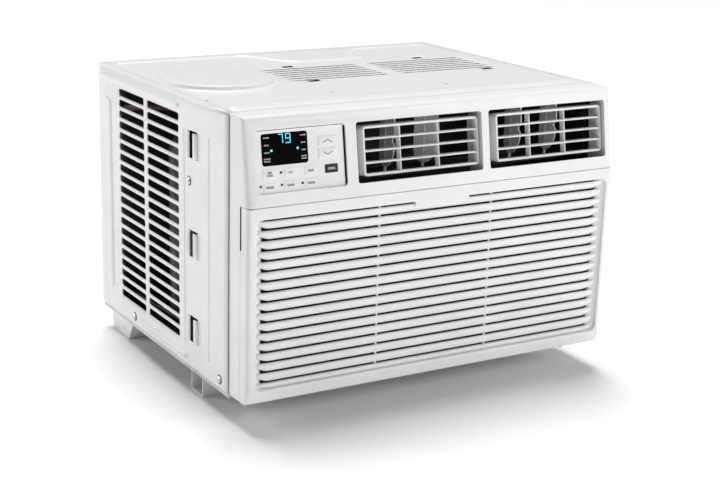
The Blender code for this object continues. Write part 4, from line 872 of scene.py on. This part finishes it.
def face_y(z):
    """The front face leans out a little towards the top: a straight line in height."""
    share = (z - grille_low.z - CHIN_TALL) / (grille_high.z - grille_low.z - CHIN_TALL)
    return FACE_LOW_Y + (grille_low.y - FACE_LOW_Y) * share


def border_depth(x, z):
    """How far the border falls behind the face: a quarter circle at the sides, a slant at the chin."""
    from_side = np.clip((HALF - 2 * MM - np.abs(x)) / EDGE_ROUND, 0, 1)
    sides = EDGE_ROUND * (1 - np.sqrt(1 - (1 - from_side) ** 2))
    chin = CHIN_SLANT * np.clip(1 - (z - grille_low.z) / CHIN_TALL, 0, 1)
    return np.maximum(sides, chin)


def border_rings():
    """Rings from the back edge, over the rounded outside, across the face and down a bowl whose ends
    slope in under the bars."""
    outer = (grille_low.x, grille_high.x, grille_low.z, grille_high.z)
    mesh_rings = []
    for lift, forward in ((FOOT_CHAMFER, 0.0), (0.0, FOOT_CHAMFER)):
        back = ring(outer[0], outer[1], outer[2] + lift, outer[3], 0.0, 0.0, 40)
        y = np.full(len(back), GRILLE_BACK - forward)
        mesh_rings.append(np.stack([back[:, 0], y, back[:, 1]], axis=1))
    face_rings = []
    for angle in np.radians([0, 15, 30, 45, 60, 75, 90]):
        inset = EDGE_ROUND * (1 - math.cos(angle))
        chin_inset = CHIN_TALL * (1 - math.cos(angle))
        face_rings.append((outer[0] + inset, outer[1] - inset, outer[2] + chin_inset,
                           outer[3] - 0.6 * MM * math.sin(angle), 0.0))
    for share in np.linspace(0.15, 1, 6):
        start, stop = np.array(face_rings[6][:4]), np.array(RECESS) + RECESS_LIP * np.array([-1, 1, -1, 1])
        face_rings.append((*(start + (stop - start) * share), RECESS_ROUND * share))
    for bounds in face_rings:
        outline = ring(*bounds, 0.0, 40)
        x, z = outline[:, 0], outline[:, 1]
        top_edge = np.clip(1 - (grille_high.z - z) / (0.6 * MM), 0, 1) * 0.6 * MM
        y = face_y(z) + np.maximum(border_depth(x, z), top_edge)
        mesh_rings.append(np.stack([x, np.minimum(y, GRILLE_BACK), z], axis=1))
    for turn in np.radians([30, 60, 90]):
        grown = RECESS_LIP * (1 - math.sin(turn))
        outline = ring(*RECESS, RECESS_ROUND, -grown, 40)
        y = face_y(outline[:, 1]) + RECESS_LIP * (1 - math.cos(turn))
        mesh_rings.append(np.stack([outline[:, 0], y, outline[:, 1]], axis=1))
    for share in np.linspace(0.2, 1, 5):
        run = BOWL_RUN * share
        foot = RECESS[2] + 0.4 * MM * share
        bowl = ring(RECESS[0] + run, RECESS[1] - run, foot, RECESS[3], RECESS_ROUND, 0.0, 40)
        y = face_y(bowl[:, 1]) + RECESS_LIP + (RECESS_DEEP - RECESS_LIP) * share ** 0.8
        mesh_rings.append(np.stack([bowl[:, 0], y, bowl[:, 1]], axis=1))
    return np.stack(mesh_rings)


make_piece("grille_border", [border_rings()], front_plastic, "grille", "front_plastic", ("intake_grille",),
           wall=1.5 * MM, closed=False, centre=(0.0, -0.10, 0.16))

# %% Grille bars
SLOTS, SLOT_STEP, SLOT_LOW, SLOT_GAP = 17, 13.1 * MM, 64.3 * MM, 2.0 * MM
APRON_X = (-40 * MM, 42 * MM)
RIBS = (-90.5 * MM, 80.5 * MM)
BAR_SETBACK, BAR_DEEP, BAR_BOW = 0.8 * MM, 6.5 * MM, 4.6 * MM
BAR_RUN, BAR_TIP = 22 * MM, 5.5 * MM
BAR_NOSE = ((3.2, 1.0), (1.5, 0.98), (0.6, 0.88), (0.12, 0.7), (0.0, 0.5), (0.1, 0.28), (0.4, 0.05),
            (0.95, -0.2), (1.7, -0.45), (2.6, -0.7), (3.6, -0.9), (4.6, -1.0))


def bar_profile(tall):
    """One bar's outline, closed: a nose that bulges near the top, a long belly that falls back
    below it, and a flat back."""
    nose = np.array(BAR_NOSE) * [MM, tall / 2]
    back = np.array([[BAR_DEEP, -0.9 * tall / 2], [BAR_DEEP, 0.8 * tall / 2]])
    return np.concatenate([nose, back, nose[:1]])


def grille_bar(low_x, high_x, low_z, high_z):
    """A bar along x. Near each end it bows back by a quarter ellipse and its belly thins by a smooth
    step, so that slim tips lie in the bowl."""
    profile = bar_profile(high_z - low_z)
    near = BAR_RUN * (1 - np.cos(np.radians(np.arange(0, 91, 9))))
    x = np.concatenate([low_x + near, np.linspace(low_x + BAR_RUN, high_x - BAR_RUN, 12)[1:-1],
                        high_x - near[::-1]])
    from_end = np.clip(np.minimum(x - low_x, high_x - x) / BAR_RUN, 0, 1)
    back = BAR_BOW * (1 - np.sqrt(1 - (1 - from_end) ** 2))
    middle = (low_z + high_z) / 2
    y = face_y(middle) + BAR_SETBACK + profile[None, :, 0] + back[:, None]
    share = np.clip(np.minimum(x - low_x, high_x - x) / (0.75 * BAR_RUN), 0, 1)
    belly = 0.3 + 0.7 * (share * share * (3 - 2 * share))[:, None]
    z = middle + profile[None, :, 1] * np.where(profile[None, :, 1] < 0, belly, 1.0)
    return np.stack([np.broadcast_to(x[:, None], y.shape), y, z], axis=-1)


def end_caps(grid):
    """Closes both ends of a bar: each end ring joined to its own middle."""
    for edge in (grid[0], grid[-1]):
        yield np.stack([edge, middle_of(edge)])


slot_places = SLOT_LOW + SLOT_STEP * np.arange(SLOTS)
edges = [RECESS[2] + 0.4 * MM, *slot_places]
bars = []
for number, low in enumerate(edges):
    low_z = low + (SLOT_GAP / 2 if number else 0)
    high_z = slot_places[number] - SLOT_GAP / 2 if number < SLOTS else RECESS[3]
    high_z = min(high_z, RECESS[3] - 2.6 * MM)
    if high_z - low_z > 2 * MM:
        bar = grille_bar(RECESS[0] + BAR_TIP, RECESS[1] - BAR_TIP, low_z, high_z)
        bars += [bar, *end_caps(bar)]
make_piece("grille_bars", bars, front_plastic, "grille", "front_plastic")
print("grille bars:", len(bars) // 3)

# %% Grille ribs and apron


def box_grid(low, high):
    """A box as one grid: a square ring at each end, each closed to its middle."""
    loop = ring(low[0], high[0], low[2], high[2], 0.4 * MM, per_side=1, per_corner=3)
    front = np.stack([loop[:, 0], np.full(len(loop), low[1]), loop[:, 1]], axis=1)
    behind = front + [0, high[1] - low[1], 0]
    return np.stack([middle_of(front), front, behind, middle_of(behind)])


rib_boxes = [box_grid((x - 0.8 * MM, face_y(SEAM_Z) + 4.2 * MM, RECESS[2]),
                      (x + 0.9 * MM, face_y(SEAM_Z) + 8 * MM, RECESS[3])) for x in RIBS]
apron = box_grid((APRON_X[0], grille_low.y + 0.15 * MM, RECESS[3] - 6.4 * MM),
                 (APRON_X[1], face_y(SEAM_Z) + 7 * MM, RECESS[3] + 2 * MM))
make_piece("grille_ribs", rib_boxes + [apron], front_plastic, "grille", "front_plastic")

# %% [markdown]
# ## Outlet louvres
# Each outlet holds a cartridge: a rounded frame with three long blades across it and two upright
# bars. The blades are deep, so they shade each other. Behind them stand the vanes that steer the air.

# %% Louvre cartridges
BLADES = 3
FRAME_BAR, BLADE_THICK = 3.6 * MM, 2.6 * MM
RING_MARGINS = {"left": (14.8 * MM, 3.2 * MM), "right": (17.8 * MM, 3.0 * MM)}
RING_LIFT, RING_FORWARD = 3.9 * MM, 7.5 * MM
UPRIGHT_SHARES = (0.315, 0.645)
BLADE_DEEP, UPRIGHT_DEEP, UPRIGHT_THICK = 13.4 * MM, 9 * MM, 2 * MM
REAR_GAP, TRUNNION_RADIUS = 3 * MM, 2.5 * MM


def frame_loop(bounds, depth_low, depth_high, bar, radius):
    """A rounded frame: the outline goes round the opening, and a rounded bar section is carried along
    it, so that the frame is thinner at the back than at the front."""
    section = [(0.0, depth_high), (0.0, depth_low + 1.2 * MM), (0.5 * MM, depth_low + 0.3 * MM),
               (1.2 * MM, depth_low), (bar - 1.2 * MM, depth_low), (bar - 0.4 * MM, depth_low + 0.4 * MM),
               (bar, depth_low + 1.2 * MM), (bar, depth_low + 7 * MM), (bar * 0.45, depth_low + 9 * MM),
               (bar * 0.4, depth_high), (0.0, depth_high)]
    loops = []
    for inset, depth in section:
        outline = ring(*bounds, radius, inset, 4, 6)
        loops.append(on_panel(outline[:, 0], depth, outline[:, 1]))
    return np.stack(loops)


def blade_bar(start, end, thick, depth_low, depth_high, upright=False):
    """A straight bar from one side of the frame to the other: a flat section with a round nose."""
    turns = np.radians(np.linspace(90, 270, 7))
    half = thick / 2
    nose = np.stack([half * np.sin(turns), depth_low + half + half * np.cos(turns)], axis=1)
    section = np.concatenate([nose, [[-half, depth_high], [half, depth_high]], nose[:1]])
    (a0, b0), (a1, b1) = start, end
    share = np.linspace(0, 1, 5)[:, None]
    if upright:
        return on_panel(a0 + section[None, :, 0] + 0 * share, section[None, :, 1] + 0 * share,
                        b0 + (b1 - b0) * share + 0 * section[None, :, 0])
    return on_panel(a0 + (a1 - a0) * share + 0 * section[None, :, 0], section[None, :, 1] + 0 * share,
                    b0 + section[None, :, 0] + 0 * share)


def make_louver(side):
    """One outlet's cartridge, made inside the box of its CAD node."""
    low, high = panel_box(f"louver_{side}")
    margin_low, margin_high = RING_MARGINS[side]
    bounds = (low[0] + margin_low, high[0] - margin_high, low[2] + RING_LIFT, high[2] + RING_LIFT)
    front, rear = low[1] - RING_FORWARD, high[1] - REAR_GAP
    patches = [frame_loop(bounds, front, rear, FRAME_BAR, 5 * MM)]
    inner_low, inner_high = bounds[2] + FRAME_BAR / 2, bounds[3] - FRAME_BAR / 2
    for number in range(1, BLADES + 1):
        up = inner_low + (inner_high - inner_low) * number / (BLADES + 1)
        blade = blade_bar((bounds[0] + 1.5 * MM, up), (bounds[1] - 1.5 * MM, up), BLADE_THICK,
                          front + 0.6 * MM, front + 0.6 * MM + BLADE_DEEP)
        patches += [blade, *end_caps(blade)]
    for share in UPRIGHT_SHARES:
        x = bounds[0] + (bounds[1] - bounds[0]) * share
        post = blade_bar((x, inner_low), (x, inner_high), UPRIGHT_THICK, front + 1 * MM,
                         front + 1 * MM + UPRIGHT_DEEP, upright=True)
        patches += [post, *end_caps(post)]
    trunnion = np.array([low[0], high[0]])
    turns = np.radians(np.linspace(0, 360, 17))
    pivot = np.array(joints[f"louver_{side}_tilt"]["pos_m"]) - PANEL_ORIGIN
    for start, end in ((trunnion[0], bounds[0] + 1 * MM), (bounds[1] - 1 * MM, trunnion[1])):
        pin = on_panel(np.array([start, end])[:, None] + 0 * turns,
                       pivot @ PANEL_IN + TRUNNION_RADIUS * np.cos(turns)[None, :] + np.zeros((2, 1)),
                       pivot @ PANEL_UP + TRUNNION_RADIUS * np.sin(turns)[None, :] + np.zeros((2, 1)))
        patches += [pin, *end_caps(pin)]
    make_piece(f"louver_{side}_cartridge", patches, louver_plastic, f"louver_{side}", "louver_plastic",
               (f"louver_{side}",))


for side in ("left", "right"):
    make_louver(side)

# %% Steering vanes
VANE_FRONT, VANE_BACK = 22.5 * MM, 14 * MM


def vane_plate(node):
    """A sail-shaped plate on its pin. Its front edge bulges by a sine, its foot is a half ellipse and a
    square notch takes the link rod."""
    low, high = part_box(node)
    joint = next(joint for name, joint in joints.items() if name == f"{node}_swing")
    pivot = np.array(joint["pos_m"])
    turn = 0.0 if high.x - low.x < 6 * MM else -math.atan2(high.x - low.x, high.y - low.y)
    foot, top = low.z + 7 * MM, high.z - 2 * MM
    rise = np.linspace(0, 1, 24)
    foot_round = np.sqrt(1 - (1 - np.clip(rise / 0.3, 0, 1)) ** 2)
    front = -VANE_FRONT * (0.72 + 0.28 * np.sin(rise * math.pi)) * foot_round
    front = np.where(np.abs(rise - 0.47) < 0.045, front + 5 * MM, front)
    back = VANE_BACK * np.sqrt(1 - (1 - np.clip(rise / 0.2, 0, 1)) ** 2)
    z = foot + (top - foot) * rise
    along = np.concatenate([front, back[::-1]])
    height = np.concatenate([z, z[::-1]])
    along, height = np.append(along, along[0]), np.append(height, height[0])
    loops = []
    for off in (-0.9 * MM, 0.9 * MM):
        x = pivot[0] + along * math.sin(turn) + off * math.cos(turn)
        y = pivot[1] + along * math.cos(turn) - off * math.sin(turn)
        loops.append(np.stack([x, y, height], axis=1))
    halves = [np.stack([loop[:24], loop[24:48][::-1]]) for loop in loops]
    turns = np.radians(np.linspace(0, 360, 13))
    across, along = pivot[0] + 2 * MM * np.cos(turns), pivot[1] + 2 * MM * np.sin(turns)
    pin = np.stack([np.stack([across, along, 0 * turns + end], axis=1) for end in (low.z, high.z)])
    return [np.stack(loops), *halves, pin, *end_caps(pin)]


# The sails take the lighter vane plastic, painted light for the dim outlet.
for node in ("vane_left_1", "vane_left_2", "vane_right_1", "vane_right_2"):
    make_piece(f"{node}_sail", vane_plate(node), vane_plastic_painted_light, node, "louver_plastic", (node,))

# %% [markdown]
# ## The control panel
# The panel is printed: a grey mark on each button, a cyan number in the dark window and small dark
# lamps beside the buttons. The real labels are words, so plain generic marks stand in for them.
# Each mark is a thin plate a tenth of a millimetre proud of what carries it.

# %% Marks


def plate(outline, depth, thick=0.12 * MM):
    """A thin closed plate: the outline at the front and the back, each closed to its middle."""
    outline = np.concatenate([outline, outline[:1]])
    front = on_panel(outline[:, 0], depth - thick, outline[:, 1])
    behind = on_panel(outline[:, 0], depth, outline[:, 1])
    return np.stack([middle_of(front), front, behind, middle_of(behind)])


def bar_mark(x0, up0, x1, up1, wide):
    """A straight stroke with square ends."""
    start, end = np.array([x0, up0]), np.array([x1, up1])
    side = (end - start)[::-1] * [-1, 1] / np.linalg.norm(end - start) * wide / 2
    return np.array([start - side, end - side, end + side, start + side])


def dot_mark(x, up, radius, steps=20):
    """The outline of a round dot."""
    turns = np.radians(np.linspace(0, 360, steps + 1))[:-1]
    return np.stack([x + radius * np.cos(turns), up + radius * np.sin(turns)], axis=1)


SEGMENTS = {"top": (0, 2, 1, 2), "upper_left": (0, 1, 0, 2), "upper_right": (1, 1, 1, 2),
            "middle": (0, 1, 1, 1), "lower_right": (1, 0, 1, 1), "bottom": (0, 0, 1, 0)}
STROKE_WIDE, STROKE_TRIM = 1.15 * MM, 0.35 * MM
DIGITS = {
    7: ("top", "upper_right", "lower_right"),
    9: ("top", "upper_left", "upper_right", "middle", "lower_right", "bottom"),
}


def digit_marks(number, x, up, wide, tall):
    """The lit strokes of one seven-stroke digit."""
    for name in DIGITS[number]:
        x0, u0, x1, u1 = SEGMENTS[name]
        start = np.array([x + wide * x0, up + tall / 2 * u0])
        end = np.array([x + wide * x1, up + tall / 2 * u1])
        trim = (end - start) / np.linalg.norm(end - start) * (-STROKE_TRIM if x0 == x1 else STROKE_TRIM)
        yield bar_mark(*(start - trim), *(end + trim), STROKE_WIDE)


display_low, display_high = panel_box("display_window")
glass_face = display_low[1]
digits = [*digit_marks(7, -229.7 * MM, 75.0 * MM, 5.0 * MM, 10.8 * MM),
          *digit_marks(9, -220.4 * MM, 75.0 * MM, 6.0 * MM, 10.8 * MM)]
lamps = [dot_mark(-240.6 * MM, 67.0 * MM, 1.6 * MM), dot_mark(-204.8 * MM, 67.4 * MM, 1.6 * MM)]
make_piece("display_number", [plate(mark, glass_face) for mark in digits + lamps], cyan_glow, "cabinet",
           "display_glass")


def stroke_row(x, up, reach, tall):
    """A row of thin upright strokes and short joins in place of a caption: it reads as nothing."""
    count = max(3, round(2 * reach / (0.78 * MM)))
    places = np.linspace(-reach, reach, count)
    for number, place in enumerate(places):
        yield bar_mark(x + place, up - tall / 2, x + place, up + tall / 2, 0.4 * MM)
        if number + 1 < count and number % 3 != 2:
            height = up + tall * (0.42, -0.42, 0.0)[number % 3]
            yield bar_mark(x + place, height, x + places[number + 1], height, 0.36 * MM)


CAPTION_COLUMNS = ((display_low[0] + 6.6 * MM, (3.6, 2.9, 3.2, 4.2)),
                   (display_high[0] - 5.8 * MM, (3.6, 2.6, 2.6, 3.6)))


def window_ticks():
    """Small strokes down both sides of the window, where a real one has its captions."""
    for x, reaches in CAPTION_COLUMNS:
        for row, reach in enumerate(reaches):
            up = display_high[2] - 4.6 * MM - row * 8.9 * MM
            for line in ((0.0,) if row < 3 else (1.4, -1.6)):
                yield from stroke_row(x, up + line * MM, reach * MM, 1.5 * MM)


captions = [plate(mark, glass_face) for mark in window_ticks()]
make_piece("display_captions", captions, print_white, "cabinet", "display_glass")
LAMP_PLACES = ((-229.2, 39.8), (-257.6, 25.0), (-229.1, 24.8), (-200.6, 24.5))
panel_low, panel_high = panel_box("control_panel")
make_piece("indicator_lamps", [plate(dot_mark(x * MM, up * MM, 1.7 * MM), panel_low[1], 0.25 * MM)
                               for x, up in LAMP_PLACES], black_plastic, "cabinet", "front_plastic")


def strip(low_x, high_x, low_up, high_up):
    """The outline of an upright rectangle."""
    return np.array([[low_x, low_up], [high_x, low_up], [high_x, high_up], [low_x, high_up]])


def shadow_gap():
    """Painted shade of the gap between the panel and the bezel: dark strips along the right and top edges."""
    low_x, high_x = panel_low[0] + 3 * MM, panel_high[0] - 3 * MM
    low_up, high_up = panel_low[2] + 3 * MM, panel_high[2] - 3 * MM
    yield strip(high_x - 2.6 * MM, high_x + 0.3 * MM, low_up + 2 * MM, high_up - 2 * MM)
    yield strip(low_x + 3 * MM, high_x - 2 * MM, high_up - 0.9 * MM, high_up + 0.3 * MM)


gap_shade_strips = [plate(outline, panel_low[1], 0.15 * MM) for outline in shadow_gap()]
make_piece("panel_gap_shade", gap_shade_strips, shade_black, "cabinet", "front_plastic")

# %% Buttons


def button_cap(node):
    """A cap with rounded edges: rings climb from the back to the face and close at the middle."""
    low, high = panel_box(node)
    wide = min(high[0] - low[0], high[2] - low[2])
    steps = [(0.0, high[1]), (0.0, low[1] + 0.5 * MM), (0.2 * MM, low[1] + 0.15 * MM),
             (0.6 * MM, low[1]), (wide / 2, low[1])]
    loops = []
    for inset, depth in steps:
        outline = ring(low[0], high[0], low[2], high[2], 1.3 * MM, inset, 2, 4)
        loops.append(on_panel(outline[:, 0], depth, outline[:, 1]))
    return np.stack([middle_of(loops[0]), *loops])


def chevron(x, up, turned):
    """Two strokes that meet in a point."""
    reach, rise = 6.5 * MM, 3.8 * MM * turned
    return [bar_mark(x - reach, up - rise / 2, x + 0.2 * MM, up + rise / 2, 0.8 * MM),
            bar_mark(x - 0.2 * MM, up + rise / 2, x + reach, up - rise / 2, 0.8 * MM)]


ARROWS = {"up": 1, "down": -1}
CAPTIONS = {"power": (4.6,), "fan_speed": (2.6, 3.6), "eco": (2.6,), "mode": (3.6,), "filter": (5.0,),
            "sleep": (4.6,), "timer": (4.6,)}
LINE_DROP, CAPTION_TALL = 3.6 * MM, 2.8 * MM


def button_marks(label, x, up):
    """An arrow's strokes, or rows of fine strokes in place of a caption, spread evenly about the middle."""
    if label in ARROWS:
        return chevron(x, up, ARROWS[label])
    reaches = CAPTIONS[label]
    top = up + LINE_DROP * (len(reaches) - 1) / 2
    return [stroke for line, reach in enumerate(reaches)
            for stroke in stroke_row(x, top - LINE_DROP * line, reach * MM, CAPTION_TALL)]


for label in (*ARROWS, *CAPTIONS):
    node = f"button_{label}"
    low, high = panel_box(node)
    middle_x, middle_up = (low[0] + high[0]) / 2, (low[2] + high[2]) / 2
    dark = label == "power"
    slot = "button_power_cap" if dark else "button_cap"
    make_piece(f"{node}_cap", [button_cap(node)], dark_button if dark else front_plastic, node, slot, (node,))
    ink = print_white if dark else print_green if label == "eco" else print_grey
    marks = [plate(mark, low[1]) for mark in button_marks(label, middle_x, middle_up)]
    make_piece(f"{node}_mark", marks, ink, node, slot)

# %% [markdown]
# ## Coil fins
# A coil's face is hundreds of thin fins. One folded surface gives the look with little geometry: its
# depth is a triangle wave along the width, so each fold catches light and shade like a pair of fins.

# %% Finned faces


def fin_face(node, towards_rear):
    """A pleated sheet over one face of a coil slab: depth follows a triangle wave along the width."""
    low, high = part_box(node)
    pitch, deep = 2.4 * MM, 1.6 * MM
    inner_low, inner_high = low.x + 8 * MM, high.x - 8 * MM
    x = np.arange(inner_low, inner_high, pitch / 2)
    wave = (np.arange(len(x)) % 2) * deep
    z = np.array([low.z + 2 * MM, (low.z + high.z) / 2, high.z - 2 * MM])
    face = high.y + 0.2 * MM if towards_rear else low.y - 0.2 * MM
    y = face + wave * (0.5 if towards_rear else -0.5)
    grid_x, grid_z = np.meshgrid(x, z)
    return np.stack([grid_x, np.broadcast_to(y, grid_x.shape), grid_z], axis=-1)


for node, rear in (("condenser_coil", True), ("evaporator_coil", False)):
    low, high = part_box(node)
    make_piece(f"{node}_fins", [fin_face(node, rear)], coil_metal, "cabinet", "coil_fins", closed=False,
               centre=tuple((low + high) / 2))
